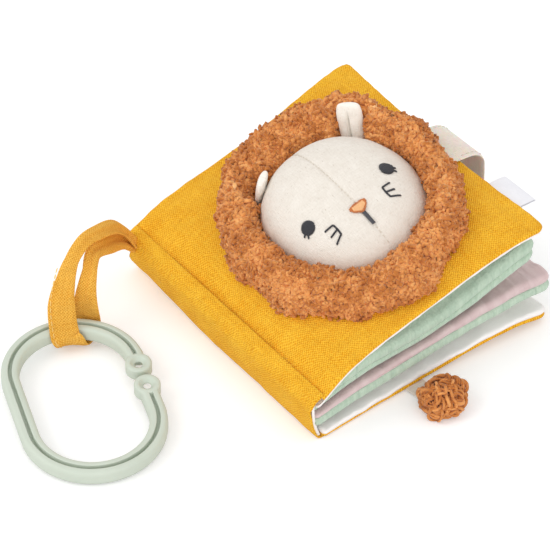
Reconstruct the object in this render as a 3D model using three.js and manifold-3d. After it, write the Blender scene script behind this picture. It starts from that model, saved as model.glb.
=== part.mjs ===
// A crinkle cloth book for babies: two quilted covers and two quilted leaves on a cloth spine,
// a stuffed lion's head sewn to the front cover, a closure strap, a tail and a clip-on ring.
// Millimetres, +Z up. The origin is the middle of the flat underside of the back cover.
// +X runs from the spine to the fore-edge and +Y from the foot of the book to its head.

import * as THREE from 'three';
import { mergeVertices } from 'three/addons/utils/BufferGeometryUtils.js';
import Module from 'manifold-3d';

const wasm = await Module();
wasm.setup();

// Book
const COVER_WIDTH = 138;
const COVER_HEIGHT = 150;
const COVER_CROWN = 4;
const FORE_CORNER_RADIUS = 5;
const SPINE_CORNER_RADIUS = 2;
const FORE_EDGE_DRAW_IN = 2.5;
const HEAD_FOOT_DRAW_IN = 2.5;
const SPINE_HEIGHT = 20.6;
const SPINE_TUCK = 3.6;
const FRONT_LIFT = 41.5;
const HEAD_CORNER_RISE = 3;
const BACK_SEAM_HEIGHT = 1.25;
const BACK_EDGE_RISE = 5.2;
const LEAF_1_WIDTH = 132;
const LEAF_1_HEIGHT = 142;
const LEAF_2_WIDTH = 139;
const LEAF_2_HEIGHT = 147;
const LEAF_DRAW_IN = 3;

// Cloth and filling
const OUTER_CLOTH = 0.9;
const LINING = 0.7;
const TERRY = 0.8;
const SATIN = 0.6;
const FILM = 0.4;
const SEAM_GAP = 0.3;
const LEAF_SPINE_GAP = 0.8;

// Lion's head
const FACE_WIDTH = 77;
const FACE_HEIGHT = 81;
const HEAD_DEPTH = 26.5;
const FOREHEAD_RISE = 5.5;
const FACE_CLOTH = 1;
const MANE_WIDTH = 114;
const MANE_HEIGHT = 130;
const MANE_DEPTH = 19;
const MANE_TURN = THREE.MathUtils.degToRad(-18);
const HEAD_SEAT_GAP = 0.6;
const LEFT_EAR_LENGTH = 17;
const RIGHT_EAR_LENGTH = 21;
const EAR_WIDTH = 14;
const EAR_DEPTH = 4.5;
const EAR_SEAT = 4;
const LEFT_EAR_LEAN = THREE.MathUtils.degToRad(-10);
const RIGHT_EAR_LEAN = THREE.MathUtils.degToRad(25);
const STITCH_DEPTH = 0.8;
const STITCH_WIDTH = 1.3;
const EYE_WIDTH = 6.2;
const EYE_HEIGHT = 7;
const NOSE_WIDTH = 9;
const NOSE_HEIGHT = 5.8;
const MOUTH_LENGTH = 6.2;
const WHISKER_LENGTH = 5.5;
const WHISKER_SPACING = 3.4;

// Ring
const RING_BAR_WIDTH = 8.5;
const RING_BAR_HEIGHT = 8;
const RING_END_RADIUS = 29.6;
const RING_STRAIGHT = 34.2;
const RING_CORNER = 2;
const GROOVE_WIDTH = 1.8;
const GROOVE_DEPTH = 3.2;
const EYELET_DIAMETER = 12.5;
const EYELET_SPACING = 14.4;
const EYELET_SHIFT = 4.7;
const EYELET_MOUTH = 7;
const EYELET_BORE = 3.6;
const EYELET_SINK = 3.4;
const PIN_HOLE = 1.6;
const RING_TURN = THREE.MathUtils.degToRad(71.6);

// Loop, closure strap, label and tail
const LOOP_WIDTH = 14;
const LOOP_THICKNESS = 1.2;
const LOOP_INNER_RADIUS = 6.4;
const LOOP_RISE = 43;
const LOOP_SPREAD = 4;
const LOOP_SKEW = 9.5;
const LOOP_ROOT_LEAN = THREE.MathUtils.degToRad(48);
const STRAP_WIDTH = 29;
const STRAP_THICKNESS = 1.6;
const STRAP_REACH = 14.5;
const STRAP_BEND_RADIUS = 7;
const STRAP_ARCH = 0.5;
const STRAP_FLOOR_GAP = 12;
const STRAP_PLACE = -3;
const TAPE_LENGTH = 20;
const TAPE_THICKNESS = 1;
const PATCH_THICKNESS = 0.6;
const LABEL_LENGTH = 11;
const LABEL_WIDTH = 22;
const LABEL_THICKNESS = 0.7;
const LABEL_PLACE = -46;
const LABEL_DROOP = THREE.MathUtils.degToRad(2);
const TAIL_WIDTH = 11;
const TAIL_THICKNESS = 1.1;
const TAIL_FREE_LENGTH = 11.8;
const TAIL_TUCK = 2;
const TAIL_PLACE = -11;
const TUFT_WIDTH = 25;
const TUFT_LENGTH = 22;
const TUFT_HEIGHT = 12;
const TAIL_TURN = THREE.MathUtils.degToRad(5);

// Derived places of the book block
const RIM = OUTER_CLOTH + SEAM_GAP + LINING;
const HINGE_X = -COVER_WIDTH / 2 - RIM - SEAM_GAP;
const BACK_HINGE_Z = BACK_SEAM_HEIGHT - RIM / 2;
const FRONT_HINGE_Z = BACK_HINGE_Z + SPINE_HEIGHT;
const FRONT_REACH = Math.sqrt(COVER_WIDTH ** 2 - FRONT_LIFT ** 2);
const FRONT_TILT = Math.asin(FRONT_LIFT / COVER_WIDTH);
const LEAF_ROOT_X = HINGE_X + RIM + LEAF_SPINE_GAP;

// How each seam rises from its root to its fore-edge, as shares of the width and of the rise
const stationShares = [0, 0.16, 0.5, 0.85, 1];
const frontSeamShares = [0, 0.29, 0.59, 0.92, 1];
const backSeamShares = [0, 0.04, 0.5, 1, 0.65];
const leaf1SeamShares = [0, 0.29, 0.45, 0.85, 1];
const leaf2SeamShares = [0, 0.57, 0.92, 1.1, 1];
const leaf1RootShare = 0.81;
const leaf2RootShare = 0.56;
const leaf1LiftShare = 0.735;
const leaf2LiftShare = 0.28;
const leaf1TwistShare = 0.5;
// How far the spine leans in towards its foot, at shares of its height
const spineHeightShares = [0, 0.2, 0.45, 0.75, 1];
const spineTuckShares = [1, 0.55, 0.2, 0, 0];
// How much of the room between two seams each page's filling takes
const backTopShare = 0.3;
const leaf2UnderShare = 0.55;
const leaf2TopShare = 0.36;
const leaf1UnderShare = 0.44;
const leaf1TopShare = 0.62;
const frontUnderShare = 0.2;
const backFlatShare = 0.6;

const material = (color, roughness) => new THREE.MeshStandardMaterial({ color, roughness, metalness: 0 });
const materials = {
  muslin: material(0xf5b93c, 0.95),
  printedCotton: material(0xf3eee9, 0.9),
  mintTerry: material(0xc2d5c2, 1),
  mauveSatin: material(0xcdb4b2, 0.55),
  wadding: material(0xf4f4f0, 1),
  crinkleFilm: material(0xe8eef2, 0.3),
  sherpa: material(0xc67a40, 1),
  linen: material(0xece4d8, 0.95),
  blackThread: material(0x2a2a2e, 0.7),
  orangeThread: material(0xd98a4e, 0.6),
  silicone: material(0xc9cfc1, 0.5),
  satinLabel: material(0xececee, 0.4),
  fastener: material(0xe6e0d6, 0.8),
};

const book = new THREE.Group();

function addPiece(name, geometry, finish) {
  geometry.deleteAttribute('normal');
  geometry.deleteAttribute('uv');
  const merged = mergeVertices(geometry);
  merged.computeVertexNormals();
  const mesh = new THREE.Mesh(merged, finish);
  mesh.name = name;
  book.add(mesh);
  return mesh;
}

function geometryFrom(points, triangles) {
  const geometry = new THREE.BufferGeometry();
  geometry.setAttribute('position', new THREE.Float32BufferAttribute(points.flat(), 3));
  geometry.setIndex(triangles.flat());
  return geometry;
}

// Solids that are joined or cut
const toManifold = (geometry) => {
  geometry.deleteAttribute('normal');
  geometry.deleteAttribute('uv');
  const merged = mergeVertices(geometry);
  return new wasm.Manifold(new wasm.Mesh({
    numProp: 3,
    vertProperties: new Float32Array(merged.attributes.position.array),
    triVerts: new Uint32Array(merged.index.array),
  }));
};
const fromManifold = (solid) => {
  const mesh = solid.getMesh();
  const geometry = new THREE.BufferGeometry();
  const positions = [];
  for (let i = 0; i < mesh.vertProperties.length; i += mesh.numProp) {
    positions.push(mesh.vertProperties[i], mesh.vertProperties[i + 1], mesh.vertProperties[i + 2]);
  }
  geometry.setAttribute('position', new THREE.Float32BufferAttribute(positions, 3));
  geometry.setIndex(Array.from(mesh.triVerts));
  return geometry;
};

// A smooth line through values at given shares of a length
function smoothLine(shares, values) {
  const last = shares.length - 1;
  const slope = (i) => {
    const before = Math.max(i - 1, 0);
    const after = Math.min(i + 1, last);
    return (values[after] - values[before]) / (shares[after] - shares[before]);
  };
  return (share) => {
    const u = Math.min(Math.max(share, 0), 1);
    let i = 0;
    while (i < last - 1 && u > shares[i + 1]) i += 1;
    const span = shares[i + 1] - shares[i];
    const t = (u - shares[i]) / span;
    const rise = (t * t * (3 - 2 * t)) * (values[i + 1] - values[i]);
    const bend = span * t * (1 - t) * (slope(i) * (1 - t) - slope(i + 1) * t);
    return values[i] + rise + bend;
  };
}

// Pages and covers. A pad's plan is reached through two shares a and b, from -1 to 1.
const crown = (s) => Math.sqrt(Math.max(0, 1 - s ** 4));
const gridSteps = 10;
const stations = Array.from({ length: gridSteps + 1 }, (_, i) => Math.sin((Math.PI / 2) * ((2 * i) / gridSteps - 1)));

function padPlan({ left, reach, height, foreDraw, sideDraw }) {
  const halfX = reach / 2;
  const halfY = height / 2;
  const cornerShare = 1 - Math.SQRT1_2;
  const roundIn = (over, radius) => (over > 0 ? radius - Math.sqrt(Math.max(0, radius ** 2 - over ** 2)) : 0);
  const place = (a, b) => {
    const m = Math.max(Math.abs(a), Math.abs(b));
    if (m === 0) return [left + halfX, 0];
    const A = a / m;
    const B = b / m;
    const radius = A < 0 ? SPINE_CORNER_RADIUS : FORE_CORNER_RADIUS;
    const draw = A < 0 ? 0 : foreDraw;
    let x = A * (halfX - cornerShare * radius);
    let y = B * (halfY - cornerShare * radius);
    if (Math.abs(A) >= Math.abs(B)) {
      x = Math.sign(A) * (halfX - roundIn(Math.abs(y) - (halfY - radius), radius) - draw * (1 - B * B));
      y = B * (halfY - cornerShare * radius);
    } else {
      y = Math.sign(B) * (halfY - roundIn(Math.abs(x) - (halfX - radius), radius) - sideDraw * (1 - A * A));
    }
    return [left + halfX + m * x, m * y];
  };
  const locate = (x, y) => {
    let a = (x - left - halfX) / halfX;
    let b = y / halfY;
    for (let turn = 0; turn < 8; turn += 1) {
      const [px, py] = place(a, b);
      a += (x - px) / halfX;
      b += (y - py) / halfY;
    }
    return [a, b];
  };
  return { place, locate, left, reach };
}

// A closed layer between two heights over part of a pad's plan
function layer(plan, columns, rows, lower, upper) {
  const points = [];
  const triangles = [];
  const wide = rows.length;
  const index = (side, i, j) => (side * columns.length + i) * wide + j;
  for (const height of [upper, lower]) {
    for (const a of columns) {
      for (const b of rows) {
        const [x, y] = plan.place(a, b);
        points.push([x, y, height(a, b, x, y)]);
      }
    }
  }
  const quad = (p, q, r, s) => triangles.push([p, q, r], [p, r, s]);
  const lastColumn = columns.length - 1;
  const lastRow = wide - 1;
  for (let i = 0; i < lastColumn; i += 1) {
    for (let j = 0; j < lastRow; j += 1) {
      quad(index(0, i, j), index(0, i + 1, j), index(0, i + 1, j + 1), index(0, i, j + 1));
      quad(index(1, i, j), index(1, i, j + 1), index(1, i + 1, j + 1), index(1, i + 1, j));
    }
    quad(index(0, i, 0), index(1, i, 0), index(1, i + 1, 0), index(0, i + 1, 0));
    quad(index(0, i + 1, lastRow), index(1, i + 1, lastRow), index(1, i, lastRow), index(0, i, lastRow));
  }
  for (let j = 0; j < lastRow; j += 1) {
    quad(index(0, 0, j + 1), index(1, 0, j + 1), index(1, 0, j), index(0, 0, j));
    quad(index(0, lastColumn, j), index(1, lastColumn, j), index(1, lastColumn, j + 1), index(0, lastColumn, j + 1));
  }
  return geometryFrom(points, triangles);
}

const seamOf = (root, lift, left, reach, shares, twist = 0) => {
  const line = smoothLine(stationShares, shares.map((share) => root + lift * share));
  return (x, y) => {
    const along = (x - left) / reach;
    return line(along) + twist * along * along * (y / (COVER_HEIGHT / 2));
  };
};
const coverLeft = -COVER_WIDTH / 2;
const backLeft = coverLeft + SPINE_TUCK;
const backReach = COVER_WIDTH - SPINE_TUCK;
const leaf1Lift = FRONT_LIFT * leaf1LiftShare;
const leaf2Lift = FRONT_LIFT * leaf2LiftShare;
const leaf1Root = BACK_HINGE_Z + SPINE_HEIGHT * leaf1RootShare;
const leaf2Root = BACK_HINGE_Z + SPINE_HEIGHT * leaf2RootShare;
const leaf1Reach = Math.sqrt(LEAF_1_WIDTH ** 2 - leaf1Lift ** 2);
const leaf2Reach = Math.sqrt(LEAF_2_WIDTH ** 2 - leaf2Lift ** 2);
const leaf1Twist = HEAD_CORNER_RISE * leaf1TwistShare;
const frontSeam = seamOf(FRONT_HINGE_Z, FRONT_LIFT, coverLeft, FRONT_REACH, frontSeamShares, HEAD_CORNER_RISE);
const leaf1Seam = seamOf(leaf1Root, leaf1Lift, LEAF_ROOT_X, leaf1Reach, leaf1SeamShares, leaf1Twist);
const leaf2Seam = seamOf(leaf2Root, leaf2Lift, LEAF_ROOT_X, leaf2Reach, leaf2SeamShares);
const backSeam = seamOf(BACK_SEAM_HEIGHT, BACK_EDGE_RISE, backLeft, backReach, backSeamShares);
const room = (upper, lower, x, y) => Math.max(0, upper(x, y) - lower(x, y) - RIM);

const coverDraw = { height: COVER_HEIGHT, foreDraw: FORE_EDGE_DRAW_IN, sideDraw: HEAD_FOOT_DRAW_IN };
const leafDraw = { left: LEAF_ROOT_X, foreDraw: LEAF_DRAW_IN, sideDraw: LEAF_DRAW_IN };
const backPlan = padPlan({ left: backLeft, reach: backReach, ...coverDraw });
const frontPlan = padPlan({ left: coverLeft, reach: FRONT_REACH, ...coverDraw });
const leaf1Plan = padPlan({ ...leafDraw, reach: leaf1Reach, height: LEAF_1_HEIGHT });
const leaf2Plan = padPlan({ ...leafDraw, reach: leaf2Reach, height: LEAF_2_HEIGHT });

const backTop = (a, b, x, y) => (
  backSeam(x, y) + RIM / 2 + backTopShare * room(leaf2Seam, backSeam, x, y) * crown(a) * crown(b)
);
const backUnder = (a, b, x, y) => {
  const rise = (s) => Math.max(0, (Math.abs(s) - backFlatShare) / (1 - backFlatShare)) ** 2;
  return (backSeam(x, y) - RIM / 2) * (1 - (1 - rise(a)) * (1 - rise(b)));
};
const pageSurface = (seam, side, share, other) => (a, b, x, y) => {
  const open = side > 0 ? room(other, seam, x, y) : room(seam, other, x, y);
  return seam(x, y) + side * (RIM / 2 + share * open * crown(a) * crown(b));
};
const leaf2Under = pageSurface(leaf2Seam, -1, leaf2UnderShare, backSeam);
const leaf2Top = pageSurface(leaf2Seam, 1, leaf2TopShare, leaf1Seam);
const leaf1Under = pageSurface(leaf1Seam, -1, leaf1UnderShare, leaf2Seam);
const leaf1Top = pageSurface(leaf1Seam, 1, leaf1TopShare, frontSeam);
const frontUnder = pageSurface(frontSeam, -1, frontUnderShare, leaf1Seam);
const frontTop = (a, b, x, y) => frontSeam(x, y) + RIM / 2 + COVER_CROWN * crown(a) * crown(b);

const raised = (surface, amount) => (a, b, x, y) => surface(a, b, x, y) + amount;

// A quilted page: top cloth, crinkle film, wadding and bottom cloth, sewn together round the rim
function quiltedPage(names, plan, top, bottom, topCloth, bottomCloth) {
  const inside = stations.slice(2, -2);
  const filmTop = raised(top, -topCloth.thickness - SEAM_GAP);
  const waddingTop = raised(filmTop, -FILM - SEAM_GAP);
  const waddingUnder = raised(bottom, bottomCloth.thickness + SEAM_GAP);
  addPiece(names.top, layer(plan, stations, stations, raised(top, -topCloth.thickness), top), topCloth.finish);
  addPiece(names.film, layer(plan, inside, inside, raised(filmTop, -FILM), filmTop), materials.crinkleFilm);
  addPiece(names.wadding, layer(plan, inside, inside, waddingUnder, waddingTop), materials.wadding);
  const under = raised(bottom, bottomCloth.thickness);
  addPiece(names.bottom, layer(plan, stations, stations, bottom, under), bottomCloth.finish);
}

const muslin = { thickness: OUTER_CLOTH, finish: materials.muslin };
const cotton = { thickness: LINING, finish: materials.printedCotton };
const terry = { thickness: TERRY, finish: materials.mintTerry };
const satin = { thickness: SATIN, finish: materials.mauveSatin };

const pageNames = (page, top, bottom) => ({
  top: `${page}_${top}`,
  bottom: `${page}_${bottom}`,
  film: `${page}_crinkle_film`,
  wadding: `${page}_wadding`,
});
quiltedPage(pageNames('back_cover', 'lining', 'shell'), backPlan, backTop, backUnder, cotton, muslin);
quiltedPage(pageNames('leaf_2', 'top_satin', 'under_terry'), leaf2Plan, leaf2Top, leaf2Under, satin, terry);
quiltedPage(pageNames('leaf_1', 'top_terry', 'under_terry'), leaf1Plan, leaf1Top, leaf1Under, terry, terry);
quiltedPage(pageNames('front_cover', 'shell', 'lining'), frontPlan, frontTop, frontUnder, muslin, cotton);

// Spine: an outer strip of muslin and an inner strip of cotton between the covers, tucked in at its foot
const spineLean = smoothLine(spineHeightShares, spineTuckShares);
const spineSteps = 8;
function spineStrip(name, inset, thickness, finish) {
  const heights = Array.from({ length: spineSteps + 1 }, (_, i) => i / spineSteps);
  const edge = (share, depth) => [
    HINGE_X + SPINE_TUCK * spineLean(share) + inset + depth,
    BACK_HINGE_Z + SPINE_HEIGHT * share,
  ];
  const outline = [
    ...heights.map((share) => edge(share, thickness)),
    ...heights.reverse().map((share) => edge(share, 0)),
  ];
  const section = new THREE.Shape(outline.map(([x, z]) => new THREE.Vector2(x, z)));
  const strip = new THREE.ExtrudeGeometry(section, { depth: COVER_HEIGHT, bevelEnabled: false });
  strip.rotateX(Math.PI / 2);
  strip.translate(0, COVER_HEIGHT / 2, 0);
  addPiece(name, strip, finish);
}
spineStrip('spine_shell', 0, OUTER_CLOTH, materials.muslin);
spineStrip('spine_lining', OUTER_CLOTH + SEAM_GAP, LINING, materials.printedCotton);

// Lion's head. Its frame leans with the front cover: u up the slope, v along Y, w out of the cover.
const slopeU = new THREE.Vector3(Math.cos(FRONT_TILT), 0, Math.sin(FRONT_TILT));
const slopeW = new THREE.Vector3(-Math.sin(FRONT_TILT), 0, Math.cos(FRONT_TILT));
const alongY = new THREE.Vector3(0, 1, 0);
const fromSlope = (u, v, w) => (
  new THREE.Vector3(HINGE_X, 0, FRONT_HINGE_Z)
    .addScaledVector(slopeU, u).addScaledVector(alongY, v).addScaledVector(slopeW, w)
);
const headU = COVER_WIDTH * 0.5625;
const headV = -COVER_HEIGHT * 0.017;

// Height of the front cover's cloth above the sloping frame, under a point of it
function clothHeight(u, v) {
  let w = 0;
  for (let turn = 0; turn < 8; turn += 1) {
    const at = fromSlope(u, v, w);
    const [a, b] = frontPlan.locate(at.x, v);
    w += (frontTop(a, b, at.x, v) - at.z) * Math.cos(FRONT_TILT);
  }
  return w;
}

// A closed ring or dome made of profiles turned about the head's middle
function turnedProfile(sides, profileAt) {
  const points = [];
  const triangles = [];
  const count = profileAt(0).length;
  for (let i = 0; i < sides; i += 1) {
    points.push(...profileAt((i / sides) * 2 * Math.PI).map((p) => p.toArray()));
  }
  for (let i = 0; i < sides; i += 1) {
    const next = (i + 1) % sides;
    for (let j = 0; j < count; j += 1) {
      const up = (j + 1) % count;
      const corner = [i * count + j, next * count + j, next * count + up, i * count + up];
      triangles.push([corner[0], corner[1], corner[2]], [corner[0], corner[2], corner[3]]);
    }
  }
  return geometryFrom(points, triangles);
}

const faceRadius = (angle, grow) => {
  const across = FACE_WIDTH / 2 + grow;
  const along = FACE_HEIGHT / 2 + grow;
  return 1 / Math.hypot(Math.cos(angle) / across, Math.sin(angle) / along);
};
const headSides = 32;
const domeSteps = 6;

// A point of the head's dome: turn is the way round, rise goes from 0 at the rim to 1 at the top
function domePoint(angle, rise, inset) {
  const radius = faceRadius(angle, -inset) * Math.cos(rise * Math.PI / 2);
  const u = headU + radius * Math.cos(angle);
  const v = headV + radius * Math.sin(angle);
  const swell = Math.sin(rise * Math.PI / 2) ** 0.85;
  const lean = 1 + (FOREHEAD_RISE / HEAD_DEPTH) * ((v - headV) / (FACE_HEIGHT / 2));
  return fromSlope(u, v, clothHeight(u, v) + HEAD_SEAT_GAP + (HEAD_DEPTH - inset) * swell * lean);
}

function headDome(outerInset, innerInset) {
  const points = [];
  const triangles = [];
  const skins = innerInset === undefined ? [outerInset] : [outerInset, innerInset];
  const skinSize = headSides * domeSteps + 1;
  skins.forEach((inset) => {
    for (let ring = 0; ring < domeSteps; ring += 1) {
      for (let i = 0; i < headSides; i += 1) {
        points.push(domePoint((i / headSides) * 2 * Math.PI, ring / domeSteps, inset).toArray());
      }
    }
    points.push(domePoint(0, 1, inset).toArray());
  });
  const face = (flip, p, q, r) => triangles.push(flip ? [p, r, q] : [p, q, r]);
  skins.forEach((_, skin) => {
    const base = skin * skinSize;
    for (let i = 0; i < headSides; i += 1) {
      const next = (i + 1) % headSides;
      for (let ring = 0; ring < domeSteps - 1; ring += 1) {
        const low = base + ring * headSides;
        const high = low + headSides;
        face(skin === 1, low + i, low + next, high + next);
        face(skin === 1, low + i, high + next, high + i);
      }
      const top = base + (domeSteps - 1) * headSides;
      face(skin === 1, top + i, top + next, base + skinSize - 1);
    }
  });
  for (let i = 0; i < headSides; i += 1) {
    const next = (i + 1) % headSides;
    if (skins.length === 2) {
      triangles.push([i, skinSize + i, skinSize + next], [i, skinSize + next, next]);
    } else {
      triangles.push([next, i, skinSize]);
    }
  }
  if (skins.length === 1) {
    const seat = clothHeight(headU, headV) + HEAD_SEAT_GAP;
    points.push(fromSlope(headU, headV, seat).toArray());
  }
  return geometryFrom(points, triangles);
}
addPiece('lion_face', headDome(0, FACE_CLOTH), materials.linen);
addPiece('head_stuffing', headDome(FACE_CLOTH + SEAM_GAP), materials.wadding);

// Mane: a thick ring of long-pile cloth round the face, lobed at its outer edge
const maneProfileShares = [
  [0, 0], [0, 0.44], [0.1, 0.74], [0.32, 0.97], [0.6, 1], [0.86, 0.76], [1, 0.34], [0.98, 0], [0.5, 0],
];
const maneLobes = 11;
const maneLobeShare = 0.018;
const maneInner = (angle) => faceRadius(angle, SEAM_GAP * 2);
const maneOuter = (angle) => {
  const turned = angle - MANE_TURN;
  const oval = 1 / Math.hypot(Math.cos(turned) / (MANE_WIDTH / 2), Math.sin(turned) / (MANE_HEIGHT / 2));
  return oval * (1 + maneLobeShare * Math.sin(maneLobes * angle));
};
const maneRing = turnedProfile(maneLobes * 4, (angle) => maneProfileShares.map(([out, up]) => {
  const radius = maneInner(angle) + out * (maneOuter(angle) - maneInner(angle));
  const u = headU + radius * Math.cos(angle);
  const v = headV + radius * Math.sin(angle);
  return fromSlope(u, v, clothHeight(u, v) + HEAD_SEAT_GAP + MANE_DEPTH * up);
}).reverse());

// Ears: flat folded ovals that stand in the seam between face and mane. The mane parts in front of them.
const earProfileShares = [[0, 0], [0.66, 0], [0.86, 0.2], [1, 0.5], [0.86, 0.8], [0.45, 0.97], [0, 1]];
function earShape({ angle, lean, length }, grow, parting = 0) {
  const profile = earProfileShares.map(([wide, high]) => new THREE.Vector2(wide / 2, high));
  const shape = new THREE.LatheGeometry(profile, 12);
  const radial = new THREE.Vector3().addScaledVector(slopeU, Math.cos(angle)).addScaledVector(alongY, Math.sin(angle));
  const axis = radial.clone().multiplyScalar(Math.sin(lean)).addScaledVector(slopeW, Math.cos(lean));
  const across = new THREE.Vector3().crossVectors(slopeW, radial);
  const through = new THREE.Vector3().crossVectors(across, axis);
  const radius = faceRadius(angle, 0) + EAR_DEPTH * 0.5 + SEAM_GAP * 2;
  const u = headU + radius * Math.cos(angle);
  const v = headV + radius * Math.sin(angle);
  const foot = fromSlope(u, v, clothHeight(u, v) + EAR_SEAT)
    .addScaledVector(axis, -grow / 2).addScaledVector(radial, -parting);
  const frame = new THREE.Matrix4().makeBasis(
    across.multiplyScalar(EAR_WIDTH + grow),
    axis.multiplyScalar(length + grow),
    through.multiplyScalar(EAR_DEPTH + grow),
  ).setPosition(foot);
  return shape.applyMatrix4(frame);
}
const ears = [
  { name: 'left_ear', angle: THREE.MathUtils.degToRad(125), lean: LEFT_EAR_LEAN, length: LEFT_EAR_LENGTH },
  { name: 'right_ear', angle: THREE.MathUtils.degToRad(42), lean: RIGHT_EAR_LEAN, length: RIGHT_EAR_LENGTH },
];
ears.forEach((ear) => addPiece(ear.name, earShape(ear, 0), materials.linen));
let maneSolid = toManifold(maneRing);
const partings = [0, EAR_DEPTH / 2, EAR_DEPTH, EAR_DEPTH * 1.5];
ears.forEach((ear) => partings.forEach((parting) => {
  maneSolid = maneSolid.subtract(toManifold(earShape(ear, 2 * SEAM_GAP, parting)));
}));
addPiece('mane', fromManifold(maneSolid), materials.sherpa);

// Embroidery: thin raised shapes that lie on the face
function faceFrame(acrossFace, upFace, gap) {
  const angle = Math.atan2(upFace, acrossFace);
  const distance = Math.hypot(acrossFace, upFace);
  const riseOf = (d, way) => Math.acos(Math.min(1, d / faceRadius(way, 0))) / (Math.PI / 2);
  const at = (du, dv) => {
    const way = Math.atan2(dv, du);
    return domePoint(way, riseOf(Math.hypot(du, dv), way), 0);
  };
  const step = STITCH_WIDTH;
  const point = domePoint(angle, riseOf(distance, angle), 0);
  const right = at(acrossFace + step, upFace).sub(at(acrossFace - step, upFace)).normalize();
  const rough = at(acrossFace, upFace + step).sub(at(acrossFace, upFace - step)).normalize();
  const out = new THREE.Vector3().crossVectors(right, rough).normalize();
  const up = new THREE.Vector3().crossVectors(out, right);
  return new THREE.Matrix4().makeBasis(right, up, out).setPosition(point.addScaledVector(out, gap));
}
function embroider(name, shape, acrossFace, upFace, gap, finish) {
  const solid = new THREE.ExtrudeGeometry(shape, { depth: STITCH_DEPTH, bevelEnabled: false, curveSegments: 6 });
  addPiece(name, solid.applyMatrix4(faceFrame(acrossFace, upFace, gap)), finish);
}
const oval = (width, height) => {
  const shape = new THREE.Shape();
  shape.absellipse(0, 0, width / 2, height / 2, 0, 2 * Math.PI, false, 0);
  return shape;
};
const eyeAcross = FACE_WIDTH * 0.305;
const eyeUp = -FACE_HEIGHT * 0.136;
embroider('left_eye', oval(EYE_WIDTH, EYE_HEIGHT), -eyeAcross, eyeUp, SEAM_GAP * 1.4, materials.blackThread);
embroider('right_eye', oval(EYE_WIDTH, EYE_HEIGHT), eyeAcross, eyeUp, SEAM_GAP * 1.4, materials.blackThread);

const nose = new THREE.Shape();
nose.moveTo(0, -NOSE_HEIGHT / 2);
nose.bezierCurveTo(NOSE_WIDTH / 4, -NOSE_HEIGHT / 3, NOSE_WIDTH / 2, 0, NOSE_WIDTH / 2, NOSE_HEIGHT / 4);
nose.bezierCurveTo(NOSE_WIDTH / 2, NOSE_HEIGHT / 2, -NOSE_WIDTH / 2, NOSE_HEIGHT / 2, -NOSE_WIDTH / 2, NOSE_HEIGHT / 4);
nose.bezierCurveTo(-NOSE_WIDTH / 2, 0, -NOSE_WIDTH / 4, -NOSE_HEIGHT / 3, 0, -NOSE_HEIGHT / 2);
const noseUp = -FACE_HEIGHT * 0.252;
embroider('nose', nose, 0, noseUp, SEAM_GAP * 1.5, materials.orangeThread);

const bar = (width, height) => {
  const shape = new THREE.Shape();
  shape.moveTo(-width / 2, -height / 2);
  shape.lineTo(width / 2, -height / 2);
  shape.lineTo(width / 2, height / 2);
  shape.lineTo(-width / 2, height / 2);
  return shape;
};
const mouthUp = noseUp - NOSE_HEIGHT / 2 - SEAM_GAP * 2 - MOUTH_LENGTH / 2;
embroider('mouth_stitch', bar(STITCH_WIDTH, MOUTH_LENGTH), 0, mouthUp, SEAM_GAP * 1.5, materials.blackThread);

// Three whisker stitches that meet in one stitch across their ends nearest the nose
function whiskers(side) {
  const shape = new THREE.Shape();
  const half = STITCH_WIDTH / 2;
  const teeth = [-WHISKER_SPACING, 0, WHISKER_SPACING];
  const tip = side * WHISKER_LENGTH;
  const root = 0;
  const inner = side * STITCH_WIDTH;
  const outline = [[root, -WHISKER_SPACING - half]];
  teeth.forEach((y, i) => {
    outline.push([tip, y - half], [tip, y + half]);
    if (i < teeth.length - 1) outline.push([inner, y + half], [inner, teeth[i + 1] - half]);
  });
  outline.push([root, WHISKER_SPACING + half]);
  outline.forEach(([x, y], i) => (i ? shape.lineTo(x, y) : shape.moveTo(x, y)));
  return shape;
}
const whiskerAcross = FACE_WIDTH * 0.19;
const whiskerUp = -FACE_HEIGHT * 0.265;
embroider('left_whiskers', whiskers(-1), -whiskerAcross, whiskerUp, SEAM_GAP * 2, materials.blackThread);
embroider('right_whiskers', whiskers(1), whiskerAcross, whiskerUp, SEAM_GAP * 2, materials.blackThread);

// A strip swept along a list of frames: middle, direction across and direction through
function sweptStrip(frames, width, thickness) {
  const points = [];
  const triangles = [];
  frames.forEach(({ middle, across, through }) => {
    for (const [p, q] of [[1, 1], [-1, 1], [-1, -1], [1, -1]]) {
      points.push(middle.clone()
        .addScaledVector(across, (p * width) / 2)
        .addScaledVector(through, (q * thickness) / 2).toArray());
    }
  });
  const last = (frames.length - 1) * 4;
  for (let i = 0; i < last; i += 4) {
    for (let j = 0; j < 4; j += 1) {
      const k = (j + 1) % 4;
      triangles.push([i + j, i + k, i + 4 + k], [i + j, i + 4 + k, i + 4 + j]);
    }
  }
  triangles.push([0, 2, 1], [0, 3, 2], [last, last + 1, last + 2], [last, last + 2, last + 3]);
  return geometryFrom(points, triangles);
}

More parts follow.
